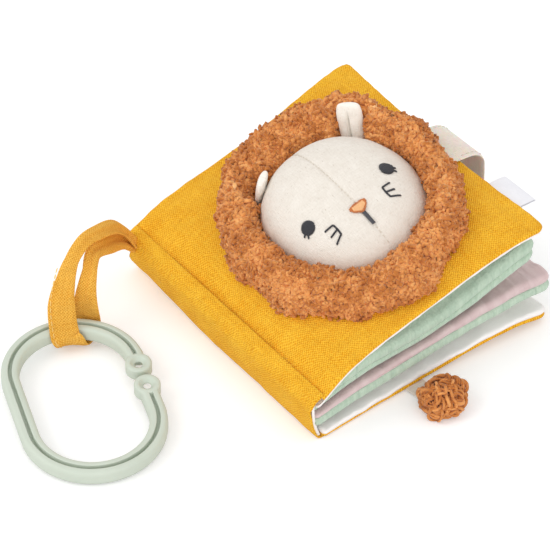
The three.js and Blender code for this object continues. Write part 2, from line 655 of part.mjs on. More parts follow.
// Closure strap: sewn on under the mane, bent over the fore-edge and hanging behind the leaves
const strapV = STRAP_PLACE;
const strapStart = frontPlan.place(1, strapV / (COVER_HEIGHT / 2));
const strapRootX = strapStart[0] + SEAM_GAP * 2;
const strapRootZ = frontSeam(strapRootX, strapV) + RIM / 2;
const strapHangX = strapRootX + STRAP_REACH;
const strapFrame = (x, z, turn) => ({
  middle: new THREE.Vector3(x, strapV, z),
  across: alongY,
  through: new THREE.Vector3(Math.sin(turn), 0, Math.cos(turn)),
});
const strapFrames = [strapFrame(strapRootX, strapRootZ, -FRONT_TILT)];
const bendSteps = 6;
const bendX = strapHangX - STRAP_BEND_RADIUS;
const bendZ = strapRootZ + STRAP_ARCH;
for (let i = 0; i <= bendSteps; i += 1) {
  const turn = (i / bendSteps) * (Math.PI / 2);
  const x = bendX + STRAP_BEND_RADIUS * Math.sin(turn);
  const z = bendZ - STRAP_BEND_RADIUS + STRAP_BEND_RADIUS * Math.cos(turn);
  strapFrames.push(strapFrame(x, z, turn));
}
strapFrames.push(strapFrame(strapHangX, STRAP_FLOOR_GAP, Math.PI / 2));
addPiece('closure_strap', sweptStrip(strapFrames, STRAP_WIDTH, STRAP_THICKNESS), materials.linen);

const tape = new THREE.BoxGeometry(TAPE_THICKNESS, STRAP_WIDTH - 2 * STRAP_THICKNESS, TAPE_LENGTH);
tape.translate(
  strapHangX - STRAP_THICKNESS / 2 - SEAM_GAP - TAPE_THICKNESS / 2,
  strapV,
  STRAP_FLOOR_GAP + STRAP_THICKNESS + TAPE_LENGTH / 2,
);
addPiece('strap_hook_tape', tape, materials.fastener);

// The patch that the hook tape grips, on the underside of the back cover near its fore-edge
const patchShare = strapV / (COVER_HEIGHT / 2);
const patchHalf = (STRAP_WIDTH - 2 * STRAP_THICKNESS) / COVER_HEIGHT;
const patchRows = [patchShare - patchHalf, patchShare, patchShare + patchHalf];
const patchTop = raised(backUnder, -SEAM_GAP);
const patch = layer(backPlan, stations.slice(-3, -1), patchRows, raised(patchTop, -PATCH_THICKNESS), patchTop);
addPiece('cover_loop_patch', patch, materials.fastener);

// Label: a folded tab of satin in the fore-edge seam of the front cover
const labelStart = frontPlan.place(1, (LABEL_PLACE - LABEL_WIDTH / 2) / (COVER_HEIGHT / 2));
const label = new THREE.BoxGeometry(LABEL_LENGTH, LABEL_WIDTH, LABEL_THICKNESS);
label.translate(LABEL_LENGTH / 2 + SEAM_GAP, 0, 0);
label.rotateY(LABEL_DROOP);
label.translate(labelStart[0], LABEL_PLACE, frontSeam(labelStart[0], LABEL_PLACE));
addPiece('side_label', label, materials.satinLabel);

// Tail: a strip of linen from under the back cover and a tuft of mane cloth at its end
const tailRoot = new THREE.Vector3(TAIL_PLACE, -COVER_HEIGHT / 2 + HEAD_FOOT_DRAW_IN + TAIL_TUCK, 0);
const tailStrip = new THREE.BoxGeometry(TAIL_WIDTH, TAIL_TUCK + TAIL_FREE_LENGTH, TAIL_THICKNESS);
tailStrip.translate(0, -(TAIL_TUCK + TAIL_FREE_LENGTH) / 2, SEAM_GAP + TAIL_THICKNESS / 2);
const tuftShape = new THREE.SphereGeometry(1, 16, 10);
const tuftPoints = tuftShape.attributes.position;
const tuftLobes = 5;
const tuftLobeShare = 0.05;
for (let i = 0; i < tuftPoints.count; i += 1) {
  const p = new THREE.Vector3().fromBufferAttribute(tuftPoints, i);
  const swell = 1 + tuftLobeShare * Math.sin(tuftLobes * Math.atan2(p.z, p.x)) * Math.hypot(p.x, p.z);
  tuftPoints.setXYZ(i, p.x * swell, p.y, p.z * swell);
}
tuftShape.rotateX(Math.PI / 2);
tuftShape.scale(TUFT_WIDTH / 2, TUFT_LENGTH / 2, TUFT_HEIGHT / 2);
const tuftStart = TAIL_TUCK + TAIL_FREE_LENGTH - TUFT_LENGTH * 0.165;
tuftShape.translate(0, -tuftStart - TUFT_LENGTH / 2, SEAM_GAP + TUFT_HEIGHT / 2);

function toTail(geometry) {
  geometry.rotateZ(TAIL_TURN);
  return geometry.translate(tailRoot.x, tailRoot.y, tailRoot.z);
}
addPiece('tail_strip', toTail(tailStrip), materials.linen);
addPiece('tail_tuft', toTail(tuftShape), materials.sherpa);

// Ring: a stadium-shaped bar of square section with a groove, open between two eyelets
// The ring's middle line from one eyelet round to the other, in the ring's own plane
function ringRoute() {
  const route = [];
  const arcSteps = 14;
  const halfStraight = RING_STRAIGHT / 2;
  const upperEyelet = EYELET_SHIFT + EYELET_SPACING / 2;
  const lowerEyelet = EYELET_SHIFT - EYELET_SPACING / 2;
  route.push({ x: RING_END_RADIUS, y: upperEyelet, out: [1, 0] });
  for (let i = 0; i <= arcSteps; i += 1) {
    const angle = (i / arcSteps) * Math.PI;
    const out = [Math.cos(angle), Math.sin(angle)];
    route.push({ x: RING_END_RADIUS * out[0], y: halfStraight + RING_END_RADIUS * out[1], out });
  }
  for (let i = 0; i <= arcSteps; i += 1) {
    const angle = Math.PI * (1 + i / arcSteps);
    const out = [Math.cos(angle), Math.sin(angle)];
    route.push({ x: RING_END_RADIUS * out[0], y: -halfStraight + RING_END_RADIUS * out[1], out });
  }
  route.push({ x: RING_END_RADIUS, y: lowerEyelet, out: [1, 0] });
  return route;
}

function sweptSection(route, section) {
  const points = [];
  const triangles = [];
  const count = section.length;
  route.forEach(({ x, y, out }) => {
    section.forEach(([across, up]) => points.push([x + out[0] * across, y + out[1] * across, up]));
  });
  for (let i = 0; i < route.length - 1; i += 1) {
    for (let j = 0; j < count; j += 1) {
      const k = (j + 1) % count;
      const low = i * count;
      const high = low + count;
      triangles.push([low + j, high + k, low + k], [low + j, high + j, high + k]);
    }
  }
  const cap = THREE.ShapeUtils.triangulateShape(section.map(([p, q]) => new THREE.Vector2(p, q)), []);
  const end = (route.length - 1) * count;
  cap.forEach(([p, q, r]) => triangles.push([p, q, r], [end + r, end + q, end + p]));
  return geometryFrom(points, triangles);
}

const halfBar = RING_BAR_WIDTH / 2;
const halfHeight = RING_BAR_HEIGHT / 2;
const barSection = [
  [-halfBar, -halfHeight + RING_CORNER], [-halfBar + RING_CORNER, -halfHeight],
  [halfBar - RING_CORNER, -halfHeight], [halfBar, -halfHeight + RING_CORNER],
  [halfBar, halfHeight - RING_CORNER], [halfBar - RING_CORNER, halfHeight],
  [GROOVE_WIDTH / 2, halfHeight], [GROOVE_WIDTH / 2, halfHeight - GROOVE_DEPTH],
  [-GROOVE_WIDTH / 2, halfHeight - GROOVE_DEPTH], [-GROOVE_WIDTH / 2, halfHeight],
  [-halfBar + RING_CORNER, halfHeight], [-halfBar, halfHeight - RING_CORNER],
];
const upright = (radiusTop, radiusBottom, height, sides, z) => {
  const post = new THREE.CylinderGeometry(radiusTop, radiusBottom, height, sides);
  post.rotateX(Math.PI / 2);
  return post.translate(0, 0, z);
};
let ringSolid = toManifold(sweptSection(ringRoute(), barSection));
const eyelets = [1, -1].map((side) => {
  const at = [RING_END_RADIUS, EYELET_SHIFT + side * EYELET_SPACING / 2, 0];
  const disc = toManifold(upright(EYELET_DIAMETER / 2, EYELET_DIAMETER / 2, RING_BAR_HEIGHT, 20, 0).translate(...at));
  const overrun = RING_BAR_HEIGHT;
  const bore = toManifold(upright(EYELET_BORE / 2, EYELET_BORE / 2, RING_BAR_HEIGHT + overrun, 12, 0).translate(...at));
  const sink = toManifold(
    upright(EYELET_MOUTH / 2, EYELET_BORE / 2, EYELET_SINK, 16, halfHeight - EYELET_SINK / 2).translate(...at),
  );
  return { disc, bore, sink };
});
eyelets.forEach(({ disc }) => { ringSolid = ringSolid.add(disc); });
eyelets.forEach(({ bore, sink }) => { ringSolid = ringSolid.subtract(bore).subtract(sink); });
const pinHole = upright(PIN_HOLE / 2, PIN_HOLE / 2, RING_BAR_HEIGHT * 2, 8, 0).translate(-RING_END_RADIUS, 0, 0);
ringSolid = ringSolid.subtract(toManifold(pinHole));

// The ring lies with its far end on the floor and its near end raised by the loop under it
const RING_LENGTH = RING_STRAIGHT + 2 * RING_END_RADIUS;
const barUnderLoopZ = LOOP_INNER_RADIUS + LOOP_THICKNESS + 2 * SEAM_GAP;
const ringRise = barUnderLoopZ - halfHeight;
const ringLean = Math.asin(ringRise / RING_LENGTH);
const ringGroup = new THREE.Matrix4()
  .makeTranslation(-COVER_WIDTH * 1.033, COVER_HEIGHT * 0.037, halfHeight + ringRise / 2 + halfBar * Math.sin(ringLean))
  .multiply(new THREE.Matrix4().makeRotationZ(RING_TURN - Math.PI / 2))
  .multiply(new THREE.Matrix4().makeRotationX(ringLean));
addPiece('ring', fromManifold(ringSolid).applyMatrix4(ringGroup), materials.silicone);

// Loop: a folded strip of muslin from the head end of the spine, round the ring's bar and back.
// It crosses the bar askew, so each limb meets the bar at its own place.
const loopAcross = RING_END_RADIUS * 0.12;
function barPlace(across) {
  const arc = Math.asin(across / RING_END_RADIUS);
  const middle = new THREE.Vector3(across, RING_STRAIGHT / 2 + RING_END_RADIUS * Math.cos(arc), 0);
  return {
    middle: middle.applyMatrix4(ringGroup),
    outward: new THREE.Vector3(Math.sin(arc), Math.cos(arc), 0).transformDirection(ringGroup).setZ(0).normalize(),
    tangent: new THREE.Vector3(Math.cos(arc), -Math.sin(arc), 0).transformDirection(ringGroup).setZ(0).normalize(),
  };
}
const upward = new THREE.Vector3(0, 0, 1);
const bightRadius = LOOP_INNER_RADIUS + LOOP_THICKNESS / 2;
const rootAcross = new THREE.Vector3(0, -Math.sin(LOOP_ROOT_LEAN), -Math.cos(LOOP_ROOT_LEAN));
const rootThrough = new THREE.Vector3(0, -Math.cos(LOOP_ROOT_LEAN), Math.sin(LOOP_ROOT_LEAN));
const loopRoot = new THREE.Vector3(
  HINGE_X - SEAM_GAP,
  COVER_HEIGHT / 2 - LOOP_WIDTH * 0.48,
  BACK_HINGE_Z + SPINE_HEIGHT * 0.76,
);
const limbGap = LOOP_THICKNESS + 2 * SEAM_GAP;

// Route of each limb from the bar to the root, as shares of its plan length, of the loop's rise
// above the floor and of its spread to the side
const upperLimbShares = [
  [0, 0.58, 0.2], [0.08, 0.75, 0.5], [0.25, 0.88, 0.75], [0.41, 0.95, 0.75], [0.6, 0.93, 0.8], [0.82, 0.76, 0.6],
  [0.94, 0.58, 0.3],
];
const lowerLimbShares = [
  [0.94, 0.43, 0.2], [0.82, 0.55, 0.6], [0.6, 0.7, 0.85], [0.38, 0.77, 0.85], [0.2, 0.74, 0.75],
  [0.1, 0.63, 0.5], [0.08, 0.46, 0.2],
];
const limbFrames = (shares, bar) => {
  const span = new THREE.Vector3().subVectors(loopRoot, bar.middle).setZ(0);
  const side = new THREE.Vector3(-span.y, span.x, 0).normalize();
  return shares.map(([along, rise, out]) => ({
    middle: bar.middle.clone().setZ(LOOP_RISE * rise)
      .addScaledVector(span, along)
      .addScaledVector(side, LOOP_SPREAD * out),
    across: bar.tangent.clone().multiplyScalar(1 - along).addScaledVector(rootAcross, along),
  }));
};
const bightSteps = 12;
const bightStart = THREE.MathUtils.degToRad(160);
const bightEnd = THREE.MathUtils.degToRad(360);
const bightFrames = Array.from({ length: bightSteps + 1 }, (_, i) => {
  const share = i / bightSteps;
  const bar = barPlace(loopAcross + LOOP_SKEW * share);
  const turn = bightStart + share * (bightEnd - bightStart);
  const middle = bar.middle.clone()
    .addScaledVector(bar.outward, bightRadius * Math.cos(turn))
    .addScaledVector(upward, bightRadius * Math.sin(turn));
  return { middle, across: bar.tangent };
});
const rootFrame = (side) => ({
  middle: loopRoot.clone().addScaledVector(rootThrough, (side * limbGap) / 2),
  across: rootAcross,
});
const loopLine = [
  rootFrame(1),
  ...limbFrames(upperLimbShares, barPlace(loopAcross)).reverse(),
  ...bightFrames,
  ...limbFrames(lowerLimbShares, barPlace(loopAcross + LOOP_SKEW)).reverse(),
  rootFrame(-1),
];
const loopFrames = loopLine.map((frame, i) => {
  const before = loopLine[Math.max(i - 1, 0)].middle;
  const after = loopLine[Math.min(i + 1, loopLine.length - 1)].middle;
  const forward = new THREE.Vector3().subVectors(after, before).normalize();
  if (i === 0) forward.set(-1, 0, 0);
  if (i === loopLine.length - 1) forward.set(1, 0, 0);
  const across = frame.across.clone().addScaledVector(forward, -frame.across.dot(forward)).normalize();
  return { middle: frame.middle, across, through: new THREE.Vector3().crossVectors(forward, across) };
});
addPiece('ring_loop', sweptStrip(loopFrames, LOOP_WIDTH, LOOP_THICKNESS), materials.muslin);

export default book;
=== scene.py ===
# A crinkle cloth book for babies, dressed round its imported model.
# Places are worked out in millimetres in the model's own frame and become metres in the meshes.
import itertools
import math

import bpy
import numpy as np
from mathutils import Matrix, Vector


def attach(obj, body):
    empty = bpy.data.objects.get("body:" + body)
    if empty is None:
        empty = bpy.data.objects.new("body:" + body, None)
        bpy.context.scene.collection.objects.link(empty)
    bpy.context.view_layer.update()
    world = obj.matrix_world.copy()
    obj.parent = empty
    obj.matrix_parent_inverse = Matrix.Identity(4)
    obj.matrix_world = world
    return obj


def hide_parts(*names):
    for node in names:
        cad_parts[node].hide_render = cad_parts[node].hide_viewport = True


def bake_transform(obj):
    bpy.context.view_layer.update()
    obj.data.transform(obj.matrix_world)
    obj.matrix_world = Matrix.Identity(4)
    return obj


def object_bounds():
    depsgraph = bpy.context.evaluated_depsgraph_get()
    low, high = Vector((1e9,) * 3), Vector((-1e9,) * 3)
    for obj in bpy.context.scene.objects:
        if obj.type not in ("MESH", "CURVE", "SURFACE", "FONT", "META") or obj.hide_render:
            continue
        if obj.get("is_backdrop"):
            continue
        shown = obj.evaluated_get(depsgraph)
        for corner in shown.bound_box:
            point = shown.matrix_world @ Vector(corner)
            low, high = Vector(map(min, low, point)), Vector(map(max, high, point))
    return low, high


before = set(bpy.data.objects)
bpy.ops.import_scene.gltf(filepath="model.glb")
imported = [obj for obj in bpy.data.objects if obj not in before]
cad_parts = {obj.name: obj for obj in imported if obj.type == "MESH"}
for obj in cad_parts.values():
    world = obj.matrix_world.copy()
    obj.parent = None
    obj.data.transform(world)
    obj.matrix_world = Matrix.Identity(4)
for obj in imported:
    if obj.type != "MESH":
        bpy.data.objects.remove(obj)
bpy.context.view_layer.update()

# The picture: a plain white table in soft studio light, seen from the photograph's angle.
# The focal length and the camera's place were fitted to the book's corners and the ring.
METRE = 0.001
FOCAL_PIXELS = 2600
PICTURE_PIXELS = 550
SENSOR_WIDTH = 36
VIEW_AZIMUTH = math.radians(-36.7)
VIEW_ELEVATION = math.radians(40.8)
VIEW_DISTANCE = 1269.6
VIEW_TARGET = Vector((-15.7, 28.9, 0))
FLOOR_REACH = 6000
FLOOR_DROP = 0.3
FLOOR_GLOW = 0.24
WORLD_LIGHT = 0.86
SUNS = [("window", 0.68, 40, (-0.8, 0.35, 0.85)), ("reflector", 0.75, 70, (-0.35, -0.85, 0.36))]

view_back = Vector((
    math.sin(VIEW_AZIMUTH) * math.cos(VIEW_ELEVATION),
    -math.cos(VIEW_AZIMUTH) * math.cos(VIEW_ELEVATION),
    math.sin(VIEW_ELEVATION),
))
view_right = Vector((math.cos(VIEW_AZIMUTH), math.sin(VIEW_AZIMUTH), 0))
view_up = view_back.cross(view_right)
camera_data = bpy.data.cameras.new("camera")
camera_data.sensor_width = SENSOR_WIDTH
camera_data.lens = SENSOR_WIDTH * FOCAL_PIXELS / PICTURE_PIXELS
camera = bpy.data.objects.new("camera", camera_data)
turn = Matrix((view_right, view_up, view_back)).transposed().to_4x4()
camera.matrix_world = Matrix.Translation((VIEW_TARGET + view_back * VIEW_DISTANCE) * METRE) @ turn
bpy.context.scene.collection.objects.link(camera)
bpy.context.scene.camera = camera
bpy.context.scene.view_settings.view_transform = "Standard"


class Wire:
    """A socket of a material's node tree. Arithmetic on wires adds Math nodes."""

    def __init__(self, tree, socket=None):
        self.tree = tree
        self.socket = socket

    def node(self, kind, sockets=None, output=0, stops=None, **settings):
        made = self.tree.nodes.new(kind)
        for key, value in settings.items():
            setattr(made, key, value)
        if stops:
            ramp = made.color_ramp
            ramp.elements[0].position, ramp.elements[0].color = stops[0]
            ramp.elements[1].position, ramp.elements[1].color = stops[-1]
            for place, shade in stops[1:-1]:
                ramp.elements.new(place).color = shade
        for key, value in (sockets or {}).items():
            if isinstance(value, Wire):
                self.tree.links.new(value.socket, made.inputs[key])
            else:
                made.inputs[key].default_value = value
        return Wire(self.tree, made.outputs[output])

    def maths(self, operation, *values):
        return self.node("ShaderNodeMath", dict(enumerate(values)), operation=operation)

    def __add__(self, other):
        return self.maths("ADD", self, other)

    def __sub__(self, other):
        return self.maths("SUBTRACT", self, other)

    def __rsub__(self, other):
        return self.maths("SUBTRACT", other, self)

    def __mul__(self, other):
        return self.maths("MULTIPLY", self, other)

    def sine(self):
        return self.maths("SINE", self)

    def clear(self):
        """This value held between 0 and 1."""
        return self.node("ShaderNodeClamp", {0: self})

    def between(self, low, high):
        """0 below low, 1 above high, and smooth in between."""
        return self.node(
            "ShaderNodeMapRange", {"Value": self, "From Min": low, "From Max": high},
            interpolation_type="SMOOTHSTEP",
        )

    def shades(self, first, second):
        """The first colour where this value is 0 and the second where it is 1."""
        return self.node(
            "ShaderNodeMix", {0: self, 6: first, 7: second}, output=2, data_type="RGBA"
        )


def tint(red, green, blue):
    """A colour that is written as it looks on screen, from 0 to 255."""
    linear = [
        share / 12.92 if share <= 0.04045 else ((share + 0.055) / 1.055) ** 2.4
        for share in (red / 255, green / 255, blue / 255)
    ]
    return (*linear, 1)


def finish(name, paint, **steady):
    """A material. What varies over it comes from paint, and steady values sit on the shader."""
    made = bpy.data.materials.new(name)
    made.use_nodes = True
    shader = made.node_tree.nodes["Principled BSDF"]
    for key, value in steady.items():
        shader.inputs[key.replace("_", " ")].default_value = value
    for key, value in paint(Wire(made.node_tree)).items():
        made.node_tree.links.new(value.socket, shader.inputs[key])
    return made


def seen_by_camera(wire):
    """1 for what the camera sees straight on, and 0 for light on its way to the part."""
    return wire.node("ShaderNodeLightPath", output="Is Camera Ray")


def grain(wire, where, size, detail=2.0):
    """Noise whose patches are about size millimetres across."""
    return wire.node(
        "ShaderNodeTexNoise", {"Vector": where, "Scale": 1 / size, "Detail": detail}
    )


def body_grain(wire, patches, detail=2.0):
    """Noise through the body of a piece, with about so many patches to the metre."""
    where = wire.node("ShaderNodeTexCoord", output="Object")
    return grain(wire, where, 1 / patches, detail)


def stretch(wire, where, x, y, turn=0.0):
    """Places on the cloth, scaled along and across it and then turned."""
    return wire.node(
        "ShaderNodeMapping", {0: where, "Rotation": (0, 0, turn), "Scale": (x, y, 1)}
    )


def relief(wire, height, depth):
    """The normal of a surface whose height goes from 0 to 1 over depth millimetres."""
    return wire.node(
        "ShaderNodeBump", {"Strength": 1.0, "Distance": depth * METRE, "Height": height}
    )


def cloth_place(wire):
    """Where a point lies on the flat cloth, in millimetres."""
    return wire.node("ShaderNodeUVMap", uv_map="cloth")


def encloses(mesh):
    """The volume inside a closed mesh: below zero where its faces look inward."""
    mesh.calc_loop_triangles()
    corner = np.empty(len(mesh.loop_triangles) * 3, int)
    mesh.loop_triangles.foreach_get("vertices", corner)
    spot = np.empty(len(mesh.vertices) * 3)
    mesh.vertices.foreach_get("co", spot)
    a, b, c = spot.reshape(-1, 3)[corner.reshape(-1, 3)].transpose(1, 0, 2)
    return (a * np.cross(b, c)).sum() / 6


def mesh_object(name, points, faces, material, places=None, tones=None):
    """A mesh from points in millimetres, smooth shaded. Places are its points on the flat cloth."""
    mesh = bpy.data.meshes.new(name)
    mesh.from_pydata((np.asarray(points).reshape(-1, 3) * METRE).tolist(), [], faces)
    mesh.polygons.foreach_set("use_smooth", [True] * len(mesh.polygons))
    if places is not None:
        corner = np.empty(len(mesh.loops), int)
        mesh.loops.foreach_get("vertex_index", corner)
        layer = mesh.uv_layers.new(name="cloth")
        layer.data.foreach_set("uv", np.asarray(places, float).reshape(-1, 2)[corner].ravel())
    if tones is not None:
        mesh.attributes.new("tone", "FLOAT", "POINT").data.foreach_set("value", np.ravel(tones))
    mesh.materials.append(material)
    mesh.update()
    if len(faces) > 1 and encloses(mesh) < 0:
        mesh.flip_normals()
    made = bpy.data.objects.new(name, mesh)
    bpy.context.scene.collection.objects.link(made)
    return made


floor_points = [
    (x * FLOOR_REACH, y * FLOOR_REACH, -FLOOR_DROP) for x, y in ((-1, -1), (1, -1), (1, 1), (-1, 1))
]
floor_material = finish(
    "floor", lambda wire: {"Emission Strength": seen_by_camera(wire) * FLOOR_GLOW},
    Base_Color=tint(238, 238, 238), Roughness=0.9, Specular_IOR_Level=0.1,
    Emission_Color=(1, 1, 1, 1),
)
floor = mesh_object("floor", floor_points, [(0, 1, 2, 3)], floor_material)
floor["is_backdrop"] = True

world = bpy.data.worlds.new("studio")
world.use_nodes = True
background = world.node_tree.nodes["Background"]
background.inputs["Color"].default_value = (1, 1, 1, 1)
world_seen = seen_by_camera(Wire(world.node_tree)) * (1 - WORLD_LIGHT) + WORLD_LIGHT
world.node_tree.links.new(world_seen.socket, background.inputs["Strength"])
bpy.context.scene.world = world
for name, energy, softness, direction in SUNS:
    light_data = bpy.data.lights.new(name, "SUN")
    light_data.energy = energy
    light_data.angle = math.radians(softness)
    light = bpy.data.objects.new(name, light_data)
    light.rotation_euler = Vector(direction).to_track_quat("Z", "Y").to_euler()
    bpy.context.scene.collection.objects.link(light)

# Back cover: muslin below and printed cotton above, sewn together round the rim and turned out,
# with crinkling film and a thin wadding inside. It lies flat on the table and lifts at its rim.
COVER_WIDTH = 138
COVER_HEIGHT = 150
COVER_CROWN = 4
FORE_CORNER = 5
SPINE_CORNER = 2
COVER_DRAW_IN = 2.5
SPINE_HEIGHT = 20.6
SPINE_TUCK = 3.6
OUTER_CLOTH = 0.9
LINING = 0.7
SEAM_GAP = 0.3
BACK_SEAM_HEIGHT = 1.25
BACK_EDGE_RISE = 5.2
FRONT_LIFT = 41.5
HEAD_CORNER_RISE = 3
STITCH_MARGIN = 4
RIM = OUTER_CLOTH + SEAM_GAP + LINING
HINGE_X = -COVER_WIDTH / 2 - RIM - SEAM_GAP
BACK_HINGE_Z = BACK_SEAM_HEIGHT - RIM / 2
FRONT_HINGE_Z = BACK_HINGE_Z + SPINE_HEIGHT


def smooth_line(shares, values):
    """A smooth curve through values at the given shares of a length."""
    shares, values = np.asarray(shares, float), np.asarray(values, float)
    last = len(shares) - 1
    before = np.maximum(np.arange(last + 1) - 1, 0)
    after = np.minimum(np.arange(last + 1) + 1, last)
    slopes = (values[after] - values[before]) / (shares[after] - shares[before])

    def line(share):
        u = np.clip(share, 0, 1)
        i = np.searchsorted(shares[1:-1], u)
        span = shares[i + 1] - shares[i]
        t = (u - shares[i]) / span
        rise = t * t * (3 - 2 * t) * (values[i + 1] - values[i])
        bend = span * t * (1 - t) * (slopes[i] * (1 - t) - slopes[i + 1] * t)
        return values[i] + rise + bend

    return line


def rounding(distance, radius):
    """How far a rounded edge has fallen back, at a distance in from it."""
    near = np.maximum(0, radius - distance)
    return radius - np.sqrt(np.maximum(0, radius**2 - near**2))


def unit(vectors):
    """Vectors brought to length 1."""
    return vectors / np.maximum(np.linalg.norm(vectors, axis=-1), 1e-9)[..., None]


def run_length(line):
    """The length of a line of points up to each of them."""
    return np.concatenate([[0], np.cumsum(np.linalg.norm(np.diff(line, axis=0), axis=1))])


CORRECTIONS = 8


class Pad:
    """The plan of a cover or leaf, reached through two shares a and b from -1 to 1."""

    def __init__(self, left, reach, height, draw):
        self.left, self.reach, self.height, self.draw = left, reach, height, draw

    def place(self, a, b):
        half_x, half_y = self.reach / 2, self.height / 2
        m = np.maximum(np.abs(a), np.abs(b))
        safe = np.where(m == 0, 1, m)
        across, along = a / safe, b / safe
        radius = np.where(across < 0, SPINE_CORNER, FORE_CORNER)
        draw = np.where(across < 0, 0, self.draw)
        corner = 1 - math.sqrt(0.5)
        x = across * (half_x - corner * radius)
        y = along * (half_y - corner * radius)
        in_x = rounding(half_y - np.abs(y), radius)
        in_y = rounding(half_x - np.abs(x), radius)
        edge_x = np.sign(across) * (half_x - in_x - draw * (1 - along**2))
        edge_y = np.sign(along) * (half_y - in_y - self.draw * (1 - across**2))
        sideways = np.abs(across) >= np.abs(along)
        x = np.where(sideways, edge_x, x)
        y = np.where(sideways, y, edge_y)
        return self.left + half_x + m * x, m * y

    def locate(self, x, y):
        """The shares of the point whose plan position is x and y, by repeated correction."""
        a = (x - self.left - self.reach / 2) / (self.reach / 2)
        b = y / (self.height / 2)
        for _ in range(CORRECTIONS):
            px, py = self.place(a, b)
            a = a + (x - px) / (self.reach / 2)
            b = b + (y - py) / (self.height / 2)
        return a, b

    def edge_distance(self, a, b):
        m = np.maximum(np.abs(a), np.abs(b))
        half = np.where(np.abs(a) >= np.abs(b), self.reach / 2, self.height / 2)
        return (1 - m) * half


cover_stations = [0, 0.16, 0.5, 0.85, 1]
leaf_stations = np.linspace(0, 1, 9)


def seam_of(root, lift, left, reach, shares, twist=0, stations=cover_stations):
    """The height of a pad's seam: it rises from its root by shares of lift."""
    line = smooth_line(stations, [root + lift * share for share in shares])

    def seam(x, y):
        along = (x - left) / reach
        return line(along) + twist * along * along * (y / (COVER_HEIGHT / 2))

    return seam


def crown(share):
    """1 in the middle of a pad and 0 at its edge."""
    return np.sqrt(np.maximum(0, 1 - share**4))


def room(upper, lower, x, y):
    """The height between two pads' seams that their cloth and filling can take up."""
    return np.maximum(0, upper(x, y) - lower(x, y) - RIM)


def mottle(x, y, size, seed):
    """A smooth random field from -1 to 1 whose patches are about size millimetres across."""
    table = np.random.default_rng(seed).uniform(-1, 1, (32, 32, 32))
    spot = np.stack(np.broadcast_arrays(x, y, 0)).astype(float) / size + 7.3
    cell = np.floor(spot).astype(int)
    part = spot - cell
    part = part * part * (3 - 2 * part)
    total = 0
    for corner in itertools.product((0, 1), repeat=3):
        weight = 1
        for axis, near in enumerate(corner):
            weight = weight * (part[axis] if near else 1 - part[axis])
        i, j, k = ((cell[axis] + near) % 32 for axis, near in enumerate(corner))
        total = total + weight * table[i, j, k]
    return total


def smooth_step(value, low, high):
    t = np.clip((value - low) / (high - low), 0, 1)
    return t * t * (3 - 2 * t)


def seam_stations(half, spacing):
    """Shares from -1 to 1 that crowd together near both ends, where the cloth rolls to its seam."""
    near = [0, 0.12, 0.35, 0.65, 1, 1.4, 1.8, 2.25, 2.7, 3.2, 3.9]
    inner = np.linspace(near[-1], half, max(2, round((half - near[-1]) / spacing)))
    half_line = np.concatenate([near[:-1], inner])
    return np.concatenate([half_line / half - 1, (1 - half_line / half)[::-1][1:]])


def quads(index):
    """Faces between neighbouring rows and columns of a grid of point numbers."""
    return np.stack(
        [index[:-1, :-1], index[1:, :-1], index[1:, 1:], index[:-1, 1:]], axis=-1
    ).reshape(-1, 4)


def tube_faces(rows, columns, first=0, ends="flat"):
    """Faces of a tube of rows of points. Its ends are flat, or looped on to each other, or drawn
    to two poles, whose points come after the rows."""
    index = first + np.arange(rows * columns).reshape(rows, columns)
    wrap = np.concatenate([index, index[:, :1]], axis=1)
    if ends == "looped":
        return quads(np.concatenate([wrap, wrap[:1]])).tolist()
    faces = quads(wrap).tolist()
    if ends == "flat":
        return faces + [index[0].tolist(), index[-1, ::-1].tolist()]
    pole = first + index.size
    faces += [[pole, a, b] for a, b in zip(wrap[0, :-1], wrap[0, 1:])]
    return faces + [[pole + 1, b, a] for a, b in zip(wrap[-1, :-1], wrap[-1, 1:])]


def closed_skin(name, outer, inner, places, material):
    """A thin closed layer of cloth between two grids of points, outer on its good side."""
    rows, columns = outer.shape[:2]
    count = rows * columns
    index = np.arange(count).reshape(rows, columns)
    rim = np.concatenate([index[:, 0], index[-1, 1:], index[-2::-1, -1], index[0, -2:0:-1]])
    rim_next = np.roll(rim, -1)
    sides = np.stack([rim, rim + count, rim_next + count, rim_next], axis=-1)
    faces = np.concatenate([quads(index), quads(index + count)[:, ::-1], sides])
    points = np.concatenate([outer.reshape(-1, 3), inner.reshape(-1, 3)])
    flat = np.concatenate([places.reshape(-1, 2)] * 2)
    return mesh_object(name, points, faces.tolist(), material, flat)


def dress(piece, body, nodes=()):
    """Gives a piece its body and hides the solids it replaces."""
    if nodes:
        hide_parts(*nodes)
    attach(piece, body)


ROLL_RUN = 3.2
ROLL_REACH = 12
ROLL_START = math.radians(-57)
ROLL_HEIGHT = 1.84


def edge_roll(edge, radius):
    """A padded edge: how far the cloth stands out past its seam, and how high above it.
    It leaves the seam's valley, swells outwards and has turned over the top after ROLL_RUN."""
    turn = ROLL_START + (math.pi / 2 - ROLL_START) * np.clip(edge / ROLL_RUN, 0, 1)
    out = radius * (np.cos(turn) - math.cos(ROLL_START))
    high = radius * (np.sin(turn) - math.sin(ROLL_START))
    inset = math.cos(ROLL_START) * radius
    inwards = inset + (edge - ROLL_RUN) * (ROLL_REACH - inset) / (ROLL_REACH - ROLL_RUN)
    out = np.where(edge > ROLL_RUN, -inwards, out)
    return np.where(edge > ROLL_REACH, -edge, out), high


def grid_normals(points):
    """The direction out of a grid surface at each of its points."""
    return unit(np.cross(np.gradient(points, axis=0), np.gradient(points, axis=1)))


